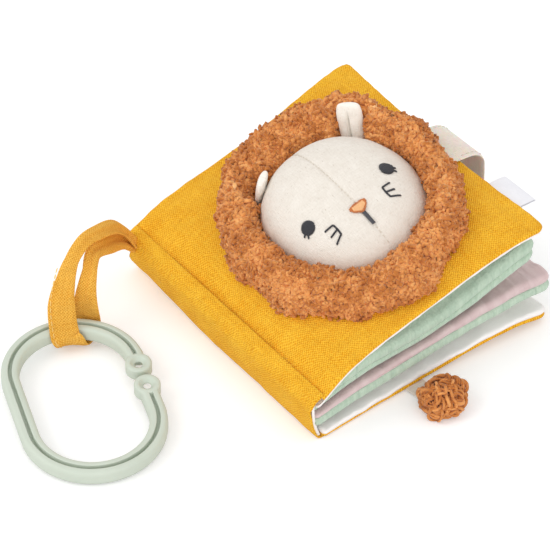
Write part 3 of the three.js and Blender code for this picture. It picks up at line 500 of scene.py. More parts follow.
def page_skin(name, pad, seam, height, side, thickness, material, ruffle, roll, spacing=1.2,
              start=None):
    """One cloth of a pad: side is 1 for its top and -1 for its underside."""
    a_line = seam_stations(pad.reach / 2, spacing)
    if start is not None:
        first = (start - pad.left) / (pad.reach / 2) - 1
        a_line = np.concatenate([[first], a_line[a_line > first + 0.004]])
    a, b = np.meshgrid(a_line, seam_stations(pad.height / 2, spacing), indexing="ij")
    if side < 0:
        a, b = a[:, ::-1], b[:, ::-1]
    edge = pad.edge_distance(a, b)
    out, high = edge_roll(edge, roll(*pad.place(a, b)))
    share = np.maximum(np.maximum(np.abs(a), np.abs(b)), 1e-6)
    half = np.where(np.abs(a) >= np.abs(b), pad.reach / 2, pad.height / 2)
    stretch = np.where(edge > ROLL_REACH, 1, (1 + out / half) / share)
    x, y = pad.place(a * stretch, b * stretch)
    flat = smooth_step(edge, ROLL_RUN * 0.8, ROLL_REACH)
    rise = side * (height(a, b, x, y) - seam(x, y))
    z = seam(x, y) + side * (high * (1 - flat) + rise * flat + ruffle(x, y, edge, a, b))
    outer = np.stack([x, y, np.maximum(z, 0.02)], axis=-1)
    depth = thickness * np.clip(0.2 + edge / 1.4, 0.2, 1)
    inner = outer - grid_normals(outer) * depth[..., None]
    return closed_skin(name, outer, inner, np.stack([x, y], axis=-1), material)


def gathers(x, y, edge, a, b, seed, period, length):
    """Small folds that run inwards from the seam, where the cloth was eased in."""
    along = np.where(np.abs(a) >= np.abs(b), y, x)
    fold = mottle(along, edge / 6, period, seed) + 0.5 * mottle(
        along, edge / 4, period / 2, seed + 1)
    return fold * np.exp(-edge / length) * (1 - np.exp(-edge / 0.9))


THREAD_PITCH = 1.4
DOT_SPACING = 13


def muslin_finish(name, light, dark, crease):
    """Double gauze: a plain open weave with thick and thin threads, crinkled all over."""
    def paint(wire):
        where = cloth_place(wire)
        wander = grain(wire, where, 9, 3) * 2.5
        warp, weft = (
            ((wire.node("ShaderNodeSeparateXYZ", {0: where}, axis) + wander)
             * (2 * math.pi / THREAD_PITCH)).sine()
            for axis in (0, 1)
        )
        slub = grain(wire, stretch(wire, where, 0.08, 1.1), 1.1) + grain(
            wire, stretch(wire, where, 1.1, 0.08), 1.1)
        weave = warp * weft * 0.3 + slub * 0.4 + grain(wire, where, 0.8, 3) * 0.6
        tone = (weave * 1.9 + grain(wire, where, 16, 3) * 0.7 - 1.1).clear()
        # Random patches drawn towards the darker crease colour: painted shade of the cloth's
        # crinkles.
        creased = grain(wire, where, 5, 4).between(0.6, 0.8) * 0.4
        height = weave * 0.9 + grain(wire, where, 2.4, 3) * 0.8
        return {
            "Base Color": creased.shades(tone.shades(dark, light), crease),
            "Normal": relief(wire, height, 0.7),
        }
    return finish(name, paint, Roughness=0.95, Sheen_Weight=0.04, Sheen_Roughness=0.6,
                  Specular_IOR_Level=0.1)


def cotton_finish(name, dotted):
    """Off-white cotton lining, plain or printed with small scattered dots."""
    def paint(wire):
        where = cloth_place(wire)
        colour = grain(wire, where, 14).shades(tint(248, 241, 239), tint(254, 251, 249))
        if dotted:
            spread = {"Vector": where, "Scale": 1 / DOT_SPACING, "Randomness": 0.8}
            near = wire.node("ShaderNodeTexVoronoi", spread)
            cell = wire.node("ShaderNodeTexVoronoi", spread, "Color")
            ink = wire.node(
                "ShaderNodeValToRGB", {0: wire.node("ShaderNodeSeparateColor", {0: cell})},
                stops=[(0.0, tint(224, 84, 62)), (0.34, tint(70, 122, 160)),
                       (0.62, tint(224, 92, 70)), (0.85, tint(84, 150, 150))],
            )
            ink.socket.node.color_ramp.interpolation = "CONSTANT"
            colour = (1 - near.between(0.14, 0.17)).shades(colour, ink)
        height = grain(wire, where, 0.6, 3) + grain(wire, where, 5, 3)
        return {"Base Color": colour, "Normal": relief(wire, height, 0.12)}
    return finish(name, paint, Roughness=0.85, Sheen_Weight=0.1, Specular_IOR_Level=0.2)


# The third colour of each muslin is the painted crease shade.
muslin = muslin_finish("muslin", tint(255, 202, 60), tint(228, 148, 6), tint(212, 134, 8))
plain_cotton = cotton_finish("plain_cotton", False)
printed_cotton = cotton_finish("printed_cotton", True)

back_left = -COVER_WIDTH / 2 + SPINE_TUCK
back_reach = COVER_WIDTH - SPINE_TUCK
back_pad = Pad(back_left, back_reach, COVER_HEIGHT, COVER_DRAW_IN)
back_seam = seam_of(
    BACK_SEAM_HEIGHT, BACK_EDGE_RISE, back_left, back_reach, [0, 0.04, 0.5, 1, 0.65],
)

LEAF_SPINE_GAP = 0.8
LEAF_1_WIDTH = 132
LEAF_1_HEIGHT = 142
LEAF_2_WIDTH = 139
LEAF_2_HEIGHT = 147
LEAF_DRAW_IN = 3
leaf_root_x = HINGE_X + RIM + LEAF_SPINE_GAP
leaf_1_lift = FRONT_LIFT * 0.735
leaf_2_lift = FRONT_LIFT * 0.28
leaf_1_reach = math.sqrt(LEAF_1_WIDTH**2 - leaf_1_lift**2)
leaf_2_reach = math.sqrt(LEAF_2_WIDTH**2 - leaf_2_lift**2)
leaf_1_seam = seam_of(
    BACK_HINGE_Z + SPINE_HEIGHT * 0.81, leaf_1_lift, leaf_root_x, leaf_1_reach,
    [0, 0.13, 0.21, 0.22, 0.25, 0.36, 0.56, 0.79, 1], HEAD_CORNER_RISE * 0.5, leaf_stations,
)
leaf_2_seam = seam_of(
    BACK_HINGE_Z + SPINE_HEIGHT * 0.56, leaf_2_lift, leaf_root_x, leaf_2_reach,
    [0, 0.17, 0.25, 0.34, 0.48, 0.65, 0.8, 0.96, 1], 0, leaf_stations,
)
front_reach = math.sqrt(COVER_WIDTH**2 - FRONT_LIFT**2)
front_left = -COVER_WIDTH / 2
front_seam = seam_of(
    FRONT_HINGE_Z, FRONT_LIFT, front_left, front_reach, [0, 0.29, 0.59, 0.92, 1],
    HEAD_CORNER_RISE,
)
leaf_1_pad = Pad(leaf_root_x, leaf_1_reach, LEAF_1_HEIGHT, LEAF_DRAW_IN)
leaf_2_pad = Pad(leaf_root_x, leaf_2_reach, LEAF_2_HEIGHT, LEAF_DRAW_IN)
front_pad = Pad(front_left, front_reach, COVER_HEIGHT, COVER_DRAW_IN)
BACK_FLAT_SHARE = 0.6


def back_top(a, b, x, y):
    swell = 0.3 * room(leaf_2_seam, back_seam, x, y) * crown(a) * crown(b)
    return back_seam(x, y) + RIM / 2 + swell


def back_under(a, b, x, y):
    """Flat on the table in the middle, and up to the seam at the rim."""
    rise_a, rise_b = (
        np.maximum(0, (np.abs(share) - BACK_FLAT_SHARE) / (1 - BACK_FLAT_SHARE)) ** 2
        for share in (a, b)
    )
    return (back_seam(x, y) - RIM / 2) * (1 - (1 - rise_a) * (1 - rise_b))


def lining_ruffle(seed, upper, lower, size=1.0):
    """Soft waves and gathered seams, as large as the room between two pages allows."""
    def ruffle(x, y, edge, a, b):
        calm = np.clip(room(upper, lower, x, y) / 9, 0.04, 1) * size
        wave = 0.5 * mottle(x, y, 22, seed) + 0.25 * mottle(x, y, 8, seed + 5)
        pucker = 1.5 * gathers(x, y, edge, a, b, seed + 9, 6.5, 9)
        return calm * (wave * smooth_step(edge, 0, 6) + pucker)
    return ruffle


def even_roll(radius):
    return lambda x, y: np.full(np.shape(x), float(radius))


def back_under_roll(x, y):
    return np.clip((back_seam(x, y) - 0.15) / ROLL_HEIGHT, 0.3, 1.3)


def under_ruffle(x, y, edge, a, b):
    lifted = smooth_step(np.maximum(np.abs(a), np.abs(b)), 0.75, 0.95)
    return lifted * 0.5 * gathers(x, y, edge, a, b, 41, 8, 8)


back_cover_inside = page_skin(
    "back_cover_inside", back_pad, back_seam, back_top, 1, LINING, plain_cotton,
    lining_ruffle(11, leaf_2_seam, back_seam), even_roll(1.3),
)
dress(back_cover_inside, "back_cover",
      ["back_cover_lining", "back_cover_wadding", "back_cover_crinkle_film"])
back_cover_cloth = page_skin(
    "back_cover_cloth", back_pad, back_seam, back_under, -1, OUTER_CLOTH, muslin, under_ruffle,
    back_under_roll, 2.0,
)
dress(back_cover_cloth, "back_cover", ["back_cover_shell"])

# Spine: the covers' muslin runs on round it from a row of stitches beside the front cover's fold,
# and a padded strip of the lining cotton covers its inner side.
spine_lean = smooth_line([0, 0.2, 0.45, 0.75, 1], [1, 0.55, 0.2, 0, 0])
SPINE_HEAD_TUCK = 4
SPINE_END_RADIUS = (1.5, 5.5)
SPINE_END_ROLL = 0.5
SPINE_TURNED_IN = 1.2
SPINE_PUCKER = 0.3
SPINE_FILLING = 1.6
SPINE_STEPS = 44
LINING_STEPS = 24
LINING_SETBACK = 1.6


def spine_tuck(y_share):
    """How far the spine's foot lies under the covers, which is more towards the book's head."""
    return SPINE_TUCK + SPINE_HEAD_TUCK * smooth_step(np.asarray(y_share), 0.1, 1.0)


def spine_section(y_share):
    """The outer line of the cloth from the front cover round the spine to the back cover."""
    def middle(share):
        return HINGE_X + spine_tuck(y_share) * spine_lean(share)

    y = y_share * COVER_HEIGHT / 2
    stitch = front_left + STITCH_MARGIN
    margin = front_left + STITCH_MARGIN * 0.45
    return np.array([
        (stitch, front_seam(stitch, y) + RIM / 2 + 0.6),
        (margin, front_seam(margin, y) + RIM / 2 + 1.0),
        (front_left - 0.4, FRONT_HINGE_Z + 1.75),
        (middle(0.97) - 0.1, FRONT_HINGE_Z - 0.7),
        *((middle(share) - bulge, BACK_HINGE_Z + SPINE_HEIGHT * share)
          for share, bulge in ((0.8, 0.45), (0.55, 0.5), (0.3, 0.35), (0.08, 0.1))),
        (middle(0) + 1.2, 0.25),
        (middle(0) + 4.2, 0.3),
    ])


def through_points(knots, steps):
    """A smooth line through knots, Catmull-Rom, with about even steps."""
    knots = np.asarray(knots, float)
    ends = np.concatenate([[2 * knots[0] - knots[1]], knots, [2 * knots[-1] - knots[-2]]])
    spans = len(knots) - 1
    place = np.linspace(0, spans, steps)
    i = np.minimum(place.astype(int), spans - 1)
    t = (place - i)[:, None]
    p0, p1, p2, p3 = (ends[i + k] for k in range(4))
    return 0.5 * (
        2 * p1 + (p2 - p0) * t + (2 * p0 - 5 * p1 + 4 * p2 - p3) * t**2
        + (3 * p1 - p0 - 3 * p2 + p3) * t**3
    )


spine_outer, spine_inner = [], []
step = np.arange(SPINE_STEPS)
for share in seam_stations(COVER_HEIGHT / 2, 1.2):
    line = through_points(spine_section(share), SPINE_STEPS)
    along = unit(np.gradient(line, axis=0))
    normal = np.stack([along[:, 1], -along[:, 0]], axis=1)
    from_end = (1 - abs(share)) * COVER_HEIGHT / 2
    pucker = SPINE_PUCKER * mottle(share * COVER_HEIGHT / 2, line[:, 1], 7, 61) * smooth_step(
        step, 2, 8) * (1 - smooth_step(step, SPINE_STEPS - 10, SPINE_STEPS - 4))
    line = line + normal * (rounding(from_end, SPINE_END_ROLL) - pucker)[:, None]
    drawn_in = rounding(line[:, 0] - line[:, 0].min(), SPINE_END_RADIUS[int(share > 0)])
    y = share * (COVER_HEIGHT / 2 - np.maximum(drawn_in, 0.5))
    turned_in = SPINE_TURNED_IN * (1 - smooth_step(step, 7, 13)) * min(1, 0.5 + from_end)
    inside = line + normal * (OUTER_CLOTH * min(1, 0.2 + from_end) + turned_in)[:, None]
    spine_outer.append(np.stack([line[:, 0], y, np.maximum(line[:, 1], 0.02)], axis=-1))
    spine_inner.append(np.stack([inside[:, 0], y, np.maximum(inside[:, 1], 0.3)], axis=-1))
spine_outer, spine_inner = np.array(spine_outer), np.array(spine_inner)
spine_flat = np.stack(
    np.broadcast_arrays(-65 - run_length(spine_outer[0]), spine_outer[..., 1]), axis=-1
)
spine_cloth = closed_skin("spine_cloth", spine_outer, spine_inner, spine_flat, muslin)
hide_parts("spine_shell")
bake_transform(spine_cloth)

lining_shares = np.linspace(0.02, 0.98, LINING_STEPS)
lining_outer, lining_inner = [], []
for share in seam_stations(COVER_HEIGHT / 2 - 0.6, 2):
    from_end = (1 - abs(share)) * COVER_HEIGHT / 2
    x = HINGE_X + spine_tuck(share) * spine_lean(lining_shares) + RIM + 0.2
    x = x - 0.6 * (1 - min(1, from_end))
    y = np.full(LINING_STEPS, share * (COVER_HEIGHT / 2 - LINING_SETBACK))
    z = np.maximum(BACK_HINGE_Z + SPINE_HEIGHT * lining_shares, 0.5)
    lining_outer.append(np.stack([x, y, z], axis=-1))
    lining_inner.append(np.stack([x - SPINE_FILLING * min(1, 0.8 + from_end), y, z], axis=-1))
lining_outer, lining_inner = np.array(lining_outer), np.array(lining_inner)
lining_flat = np.stack([lining_outer[..., 2] - 100, lining_outer[..., 1]], axis=-1)
spine_inside = closed_skin("spine_inside", lining_outer, lining_inner, lining_flat, plain_cotton)
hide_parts("spine_lining")
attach(spine_inside, "back_cover")

# Leaf 2: mauve satin above and mint terry below, gathered a little at the seam, with crinkling
# film inside. It is sewn into the spine along one edge.


def paint_satin(wire):
    where = cloth_place(wire)
    streak = grain(wire, stretch(wire, where, 0.25, 4), 1.2)
    fold = grain(wire, stretch(wire, where, 1, 0.16), 4)
    # The colour follows the folds of the relief, lighter on their ridges and darker in their
    # hollows: painted shade of the folds.
    colour = (streak * 0.3 + grain(wire, where, 12, 3) * 0.6 + fold * 0.7 - 0.3).clear().shades(
        tint(198, 168, 168), tint(232, 210, 209))
    height = streak * 0.08 + grain(wire, where, 5, 3) * 0.2 + fold
    return {"Base Color": colour, "Normal": relief(wire, height, 1.2)}


def paint_terry(wire):
    where = cloth_place(wire)
    tuft = grain(wire, where, 1.1, 4)
    rib = grain(wire, stretch(wire, where, 1, 0.3, 0.5), 2.2, 3)
    colour = (tuft * 0.7 + grain(wire, where, 7, 3) * 0.6 + rib * 0.6 - 0.45).clear().shades(
        tint(156, 182, 160), tint(212, 228, 208))
    height = tuft * 0.6 + rib + grain(wire, where, 3, 3) * 0.5
    return {"Base Color": colour, "Normal": relief(wire, height, 0.9)}


mauve_satin = finish("mauve_satin", paint_satin, Roughness=0.42, Sheen_Weight=0.2,
                     Specular_IOR_Level=0.45, Anisotropic=0.4)
mint_terry = finish("mint_terry", paint_terry, Roughness=1.0, Sheen_Weight=0.35,
                    Sheen_Roughness=0.5, Specular_IOR_Level=0.1)
TERRY = 0.8
SATIN = 0.6


def page_surface(seam, side, share, other):
    def surface(a, b, x, y):
        opening = room(other, seam, x, y) if side > 0 else room(seam, other, x, y)
        return seam(x, y) + side * (RIM / 2 + share * opening * crown(a) * crown(b))
    return surface


def terry_ruffle(seed, upper, lower):
    def ruffle(x, y, edge, a, b):
        calm = np.clip(room(upper, lower, x, y) / 8, 0.04, 1)
        pile = 0.16 * mottle(x, y, 1.5, seed) + 0.12 * mottle(x, y, 2.9, seed + 1)
        wave = 0.5 * mottle(x, y, 17, seed + 2)
        pucker = 0.55 * gathers(x, y, edge, a, b, seed + 3, 9, 8)
        return calm * (wave * smooth_step(edge, 0, 6) + pucker + pile * smooth_step(edge, 0, 1.2))
    return ruffle


def leaf_roll(upper, lower, share, most):
    """The size of a leaf's padded edge, held to its share of the room beside it."""
    def roll(x, y):
        return np.clip((upper(x, y) - lower(x, y) - 0.8) / ROLL_HEIGHT * share, 0.3, most)
    return roll


def leaf_skin(name, pad, seam, side, share, other, thickness, material, ruffle, roll, body,
              nodes):
    """One cloth of a leaf, which swells into its share of the room up to the page beside it."""
    surface = page_surface(seam, side, share, other)
    made = page_skin(name, pad, seam, surface, side, thickness, material, ruffle, roll)
    dress(made, body, nodes)


leaf_skin(
    "leaf_2_satin", leaf_2_pad, leaf_2_seam, 1, 0.36, leaf_1_seam, SATIN, mauve_satin,
    lining_ruffle(23, leaf_1_seam, leaf_2_seam, 0.9),
    leaf_roll(leaf_1_seam, leaf_2_seam, 0.42, 2.6),
    "leaf_2", ["leaf_2_top_satin", "leaf_2_wadding", "leaf_2_crinkle_film"],
)
leaf_skin(
    "leaf_2_terry", leaf_2_pad, leaf_2_seam, -1, 0.5, back_seam, TERRY, mint_terry,
    terry_ruffle(29, leaf_2_seam, back_seam), leaf_roll(leaf_2_seam, back_seam, 0.5, 3.2),
    "leaf_2", ["leaf_2_under_terry"],
)

# Leaf 1: mint terry on both sides over wadding and film, sewn into the spine above leaf 2.
leaf_skin(
    "leaf_1_upper_terry", leaf_1_pad, leaf_1_seam, 1, 0.62, front_seam, TERRY, mint_terry,
    terry_ruffle(31, front_seam, leaf_1_seam), leaf_roll(front_seam, leaf_1_seam, 0.5, 3.4),
    "leaf_1", ["leaf_1_top_terry", "leaf_1_wadding", "leaf_1_crinkle_film"],
)
leaf_skin(
    "leaf_1_lower_terry", leaf_1_pad, leaf_1_seam, -1, 0.44, leaf_2_seam, TERRY, mint_terry,
    terry_ruffle(37, leaf_1_seam, leaf_2_seam), leaf_roll(leaf_1_seam, leaf_2_seam, 0.52, 3.2),
    "leaf_1", ["leaf_1_under_terry"],
)

# Front cover: the same muslin and lining as the back cover, with more filling. It leans on the
# leaves, and the row of stitches beside the spine goes through all its layers.


def front_top(a, b, x, y):
    return front_seam(x, y) + RIM / 2 + COVER_CROWN * crown(a) * crown(b)


def front_crinkle(x, y, edge, a, b):
    from_stitch = x - (front_left + STITCH_MARGIN)
    dip = -(COVER_CROWN * crown(a) * crown(b) - 0.7) * (1 - smooth_step(from_stitch, 0, 9))
    dip = np.minimum(dip, 0) * smooth_step(edge, 0, 6)
    wave = 0.5 * mottle(x, y, 26, 3) + 0.3 * mottle(x, y, 11, 4)
    crinkle = 0.16 * mottle(x + y, (x - y) * 0.45, 5, 5) + 0.1 * mottle(x, y, 2.6, 6)
    pucker = 0.8 * gathers(x, y, edge, a, b, 7, 7, 10)
    tacks = 0.5 * np.exp(-from_stitch / 5) * mottle(x * 0.3, y, 5, 8)
    inner = smooth_step(edge, 0, 5) * smooth_step(from_stitch, 0, 6)
    return dip + (wave + crinkle) * inner + pucker + tacks * smooth_step(from_stitch, 0, 2)


front_cover_cloth = page_skin(
    "front_cover_cloth", front_pad, front_seam, front_top, 1, OUTER_CLOTH, muslin, front_crinkle,
    even_roll(1.3), 1.0, start=front_left + STITCH_MARGIN,
)
dress(front_cover_cloth, "front_cover",
      ["front_cover_shell", "front_cover_wadding", "front_cover_crinkle_film"])
front_cover_inside = page_skin(
    "front_cover_inside", front_pad, front_seam, page_surface(front_seam, -1, 0.2, leaf_1_seam), -1,
    LINING, printed_cotton, lining_ruffle(43, front_seam, leaf_1_seam, 0.5), even_roll(0.75),
)
dress(front_cover_inside, "front_cover", ["front_cover_lining"])


def thread_finish(name, light, dark):
    def paint(wire):
        twist = body_grain(wire, 1800)
        return {"Base Color": twist.shades(dark, light), "Normal": relief(wire, twist, 0.08)}
    return finish(name, paint, Roughness=0.6, Sheen_Weight=0.2, Specular_IOR_Level=0.35)


def around(line, width, side, over, sides):
    """Rings of points round the points of a line, in the plane of side and over."""
    angles = np.arange(sides) / sides * 2 * math.pi
    return line[..., None, :] + width[..., None, None] * (
        np.cos(angles)[:, None] * side[..., None, :] + np.sin(angles)[:, None] * over[..., None, :]
    )


def thread_run(lines, radius, sides=6):
    """Closed tubes round lines of points. The ends taper to go down into the cloth."""
    points, faces = [], []
    for line in lines:
        line = np.asarray(line, float)
        along = unit(np.gradient(line, axis=0))
        side = unit(np.cross(along, (0.13, 0.07, 1.0)))
        taper = np.sin(np.linspace(0.12, math.pi - 0.12, len(line))) * 2.4
        faces += tube_faces(len(line), sides, sum(len(block) for block in points))
        points.append(around(
            line, radius * np.clip(taper, 0.3, 1), side, np.cross(side, along), sides,
        ).reshape(-1, 3))
    return np.concatenate(points), faces


yellow_thread = thread_finish("yellow_thread", tint(254, 222, 140), tint(236, 184, 84))
STITCH_LENGTH = 2.7
STITCH_PITCH = 3.4
STITCH_THREAD = 0.2


def running_stitches(length, place):
    """Short arched stitches along a seam. Place gives a point of the cloth for a distance."""
    stitches = []
    for start in np.arange(0, length - STITCH_LENGTH, STITCH_PITCH):
        steps = np.linspace(0, 1, 7)
        line = np.array([place(start + share * STITCH_LENGTH) for share in steps], float)
        line[:, 2] += 0.25 * np.sin(steps * math.pi) - 0.02
        stitches.append(line)
    return stitches


def beside_spine(distance):
    y = -COVER_HEIGHT / 2 + 3 + distance
    x = front_left + STITCH_MARGIN - 0.1
    return x, y, front_seam(x, y) + RIM / 2 + 0.9


spine_stitches = mesh_object(
    "spine_stitches",
    *thread_run(running_stitches(COVER_HEIGHT - 6, beside_spine), STITCH_THREAD), yellow_thread,
)
dress(spine_stitches, "front_cover")

# Lion's head: a face of natural linen, pieced from two halves down the middle, stuffed hard and
# sewn to the front cover through its rim. Its frame leans with the cover: u runs up the slope and
# v along Y.
FACE_WIDTH = 77
FACE_HEIGHT = 81
HEAD_DEPTH = 26.5
FOREHEAD_RISE = 5.5
HEAD_SEAT_GAP = 0.6
FACE_CLOTH = 1.0
FRONT_TILT = math.asin(FRONT_LIFT / COVER_WIDTH)
slope_u = np.array([math.cos(FRONT_TILT), 0, math.sin(FRONT_TILT)])
slope_w = np.array([-math.sin(FRONT_TILT), 0, math.cos(FRONT_TILT)])
along_y = np.array([0.0, 1.0, 0.0])
slope_origin = np.array([HINGE_X, 0, FRONT_HINGE_Z])
head_u = COVER_WIDTH * 0.5625
head_v = -COVER_HEIGHT * 0.017


def from_slope(u, v, w):
    u, v, w = (np.asarray(value, float)[..., None] for value in (u, v, w))
    return slope_origin + u * slope_u + v * along_y + w * slope_w


def cloth_height(u, v):
    """How far the front cover's cloth stands out of the sloping frame."""
    w = np.zeros(np.broadcast(u, v).shape)
    for _ in range(CORRECTIONS):
        spot = from_slope(u, v, w)
        a, b = front_pad.locate(spot[..., 0], spot[..., 1])
        w = w + (front_top(a, b, spot[..., 0], spot[..., 1]) - spot[..., 2]) * math.cos(FRONT_TILT)
    return w


def swelling(angle, middle, width):
    """1 at the middle of a part of a turn and near 0 beyond width. All are in degrees but angle."""
    away = (np.asarray(angle, float) - math.radians(middle) + math.pi) % (2 * math.pi) - math.pi
    return np.exp(-((away / math.radians(width)) ** 2))


def face_radius(angle, grow=0.0):
    """The face is oval, a little flat at its forehead and full at its chin and one cheek."""
    oval = 1 / np.hypot(
        np.cos(angle) / (FACE_WIDTH / 2 + grow), np.sin(angle) / (FACE_HEIGHT / 2 + grow),
    )
    return (oval - 3 * swelling(angle, 92, 50) + 3.2 * swelling(angle, 305, 42)
            + 1.6 * swelling(angle, 245, 30))


def dome_point(angle, share, inset=0.0, lift=0.0):
    """A point of the stuffed face: share goes from 0 in its middle to 1 at its rim."""
    rise = np.arccos(np.minimum(1, share))
    radius = face_radius(angle, -inset) * share
    u = head_u + radius * np.cos(angle)
    v = head_v + radius * np.sin(angle)
    swell = np.sin(rise) ** 0.85
    lean = 1 + FOREHEAD_RISE / HEAD_DEPTH * (v - head_v) / (FACE_HEIGHT / 2)
    seat = cloth_height(u, v) + HEAD_SEAT_GAP
    return from_slope(u, v, seat + (HEAD_DEPTH - inset) * swell * lean + lift)


def face_at(across, up, lift=0.0):
    """A point lift millimetres off the face, by its distances across and up from the middle."""
    across, up = np.broadcast_arrays(np.asarray(across, float), np.asarray(up, float))

    def surface(p, q):
        way = np.arctan2(q, p)
        return dome_point(way, np.hypot(p, q) / face_radius(way))

    step = 0.4
    right = surface(across + step, up) - surface(across - step, up)
    upward = surface(across, up + step) - surface(across, up - step)
    out = unit(np.cross(right, upward))
    return surface(across, up) + out * np.asarray(lift)[..., None]


def linen_finish(name, light, dark, fleck, **steady):
    """Undyed linen: uneven threads with fine darker flecks of bast."""
    def paint(wire):
        where = cloth_place(wire)
        lengthwise, crosswise = stretch(wire, where, 0.22, 1.5), stretch(wire, where, 1.5, 0.22)
        warp, weft = grain(wire, lengthwise, 0.9, 3), grain(wire, crosswise, 0.9, 3)
        tone = (warp * 0.55 + weft * 0.55 + grain(wire, where, 9, 3) * 0.4 - 0.3).clear()
        bits = grain(wire, crosswise, 0.7).between(0.67, 0.74) + grain(
            wire, lengthwise, 0.7).between(0.69, 0.76)
        colour = (bits.clear() * 0.55).shades(tone.shades(dark, light), fleck)
        height = warp + weft + grain(wire, where, 0.7) * 0.6
        return {"Base Color": colour, "Normal": relief(wire, height, 0.26)}
    return finish(name, paint, Roughness=0.9, Sheen_Weight=0.12, Specular_IOR_Level=0.18, **steady)


linen = linen_finish("linen", tint(250, 245, 237), tint(216, 206, 193), tint(158, 138, 114))
ear_linen = linen_finish("ear_linen", tint(255, 252, 246), tint(238, 229, 216), tint(182, 162, 136))
face_line = np.sin(np.linspace(-math.pi / 2, math.pi / 2, 121))
face_a, face_b = np.meshgrid(face_line, face_line, indexing="ij")
face_share = np.maximum(np.abs(face_a), np.abs(face_b))
face_way = np.arctan2(face_b, face_a)
face_across = face_share * face_radius(face_way) * np.cos(face_way)
face_up = face_share * face_radius(face_way) * np.sin(face_way)
face_fold = -0.5 * np.exp(-((face_across / 0.55) ** 2)) - 0.35 * np.exp(-((face_across / 4) ** 2))
face_fold = face_fold + 0.3 * mottle(face_across, face_up, 15, 71) + 0.08 * mottle(
    face_across, face_up, 3, 72)
face_fold = face_fold + 0.6 * mottle(face_way * 38, face_share * 8, 4.5, 73) * smooth_step(
    face_share, 0.86, 0.97) * (1 - smooth_step(face_share, 0.985, 1))
face_lift = face_fold * smooth_step(1 - face_share, 0, 0.04)
face_outer = dome_point(face_way, face_share, 0, face_lift)
face_inner = dome_point(face_way, face_share, FACE_CLOTH, face_lift)
spread = np.arcsin(face_share) / np.maximum(face_share, 1e-6)
face_flat = np.stack([face_across * spread, face_up * spread], axis=-1)
face_cloth = closed_skin("face_cloth", face_outer, face_inner, face_flat, linen)
dress(face_cloth, "front_cover", ["lion_face", "head_stuffing"])

SEAM_STITCH = 1.3
SEAM_PITCH = 2.1
seam_thread = thread_finish("seam_thread", tint(236, 228, 214), tint(196, 184, 166))
seam_lift = -0.42 + 0.1 * np.sin(np.linspace(0, math.pi, 5))
face_seam_lines = []
for start in np.arange(-FACE_HEIGHT / 2 + 2, FACE_HEIGHT / 2 - 3, SEAM_PITCH):
    steps = np.linspace(start, start + SEAM_STITCH, 5)
    face_seam_lines.append(face_at(0.05 * np.sin(steps), steps, seam_lift))
face_seam = mesh_object("face_seam", *thread_run(face_seam_lines, 0.2), seam_thread)
dress(face_seam, "front_cover")

# Ears: small linen pockets, folded once and caught in the seam between face and mane.
EAR_WIDTH = 14
EAR_DEPTH = 4.5
EAR_SEAT = 4
EAR_SIDES = 72
ear_profile = through_points(
    [(0, 0), (0.34, 0), (0.45, 0.16), (0.5, 0.5), (0.485, 0.82), (0.36, 0.98), (0, 1)], 40
)


def ear_axes(angle, lean):
    """The ear's foot and its directions across, along and through."""
    radial = math.cos(angle) * slope_u + math.sin(angle) * along_y
    axis = math.sin(lean) * radial + math.cos(lean) * slope_w
    across = np.cross(slope_w, radial)
    radius = float(face_radius(angle)) + EAR_DEPTH * 0.5 + SEAM_GAP * 2
    u = head_u + radius * math.cos(angle)
    v = head_v + radius * math.sin(angle)
    foot = from_slope(u, v, cloth_height(u, v) + EAR_SEAT)
    return foot, across, axis, np.cross(across, axis)


def ear_piece(name, angle, lean, length, width, crease, node):
    foot, across, axis, through = ear_axes(angle, lean)
    turns = np.arange(EAR_SIDES) / EAR_SIDES * 2 * math.pi
    half = ear_profile[1:-1, :1]
    wide = half * np.cos(turns)
    deep = half * np.sin(turns) * EAR_DEPTH
    high = np.repeat(ear_profile[1:-1, 1:], EAR_SIDES, axis=1)
    front = np.maximum(0, -np.sin(turns))[None, :] ** 0.5
    fold = (wide - 0.05) / 0.035
    valley = np.exp(-(fold**2)) * 2.0 - np.exp(-((fold - 1.9) ** 2)) * 0.7
    deep = deep + front * valley * (1 - smooth_step(high, 0.45, 0.95)) * crease
    deep = deep + front * 0.5 * mottle(wide * 14, high * length, 5, 81)
    ends = ear_profile[[0, -1], 1]
    points = np.concatenate([
        (foot + (wide * width)[..., None] * across + (high * length)[..., None] * axis
         + deep[..., None] * through).reshape(-1, 3),
        foot + ends[:, None] * length * axis,
    ])
    flat = np.concatenate([
        np.stack([wide * width + 60, high * length], axis=-1).reshape(-1, 2),
        [[60, 0], [60, length]],
    ])
    faces = tube_faces(len(wide), EAR_SIDES, ends="poles")
    made = mesh_object(name, points, faces, ear_linen, flat)
    dress(made, "front_cover", [node])


ears = [
    ("ear_left", math.radians(125), math.radians(-19), 18.5, 12.5, 0.5, "left_ear"),
    ("ear_right", math.radians(42), math.radians(22), 20.5, 12.8, 1.25, "right_ear"),
]
for ear in ears:
    ear_piece(*ear)

# Mane: a ring of curly sherpa cloth, its pile of short twisted locks standing on a knitted backing.
MANE_WIDTH = 114
MANE_HEIGHT = 130
MANE_DEPTH = 19
MANE_TURN = math.radians(-18)
PILE_HEIGHT = 1.6
BACKING_SINK = 0.9
mane_profile = through_points(
    [(0.03, 0.05), (0.0, 0.44), (0.1, 0.74), (0.32, 0.97), (0.6, 1.0), (0.86, 0.78), (1.0, 0.36),
     (0.985, 0.08), (0.95, 0.0)], 61,
)


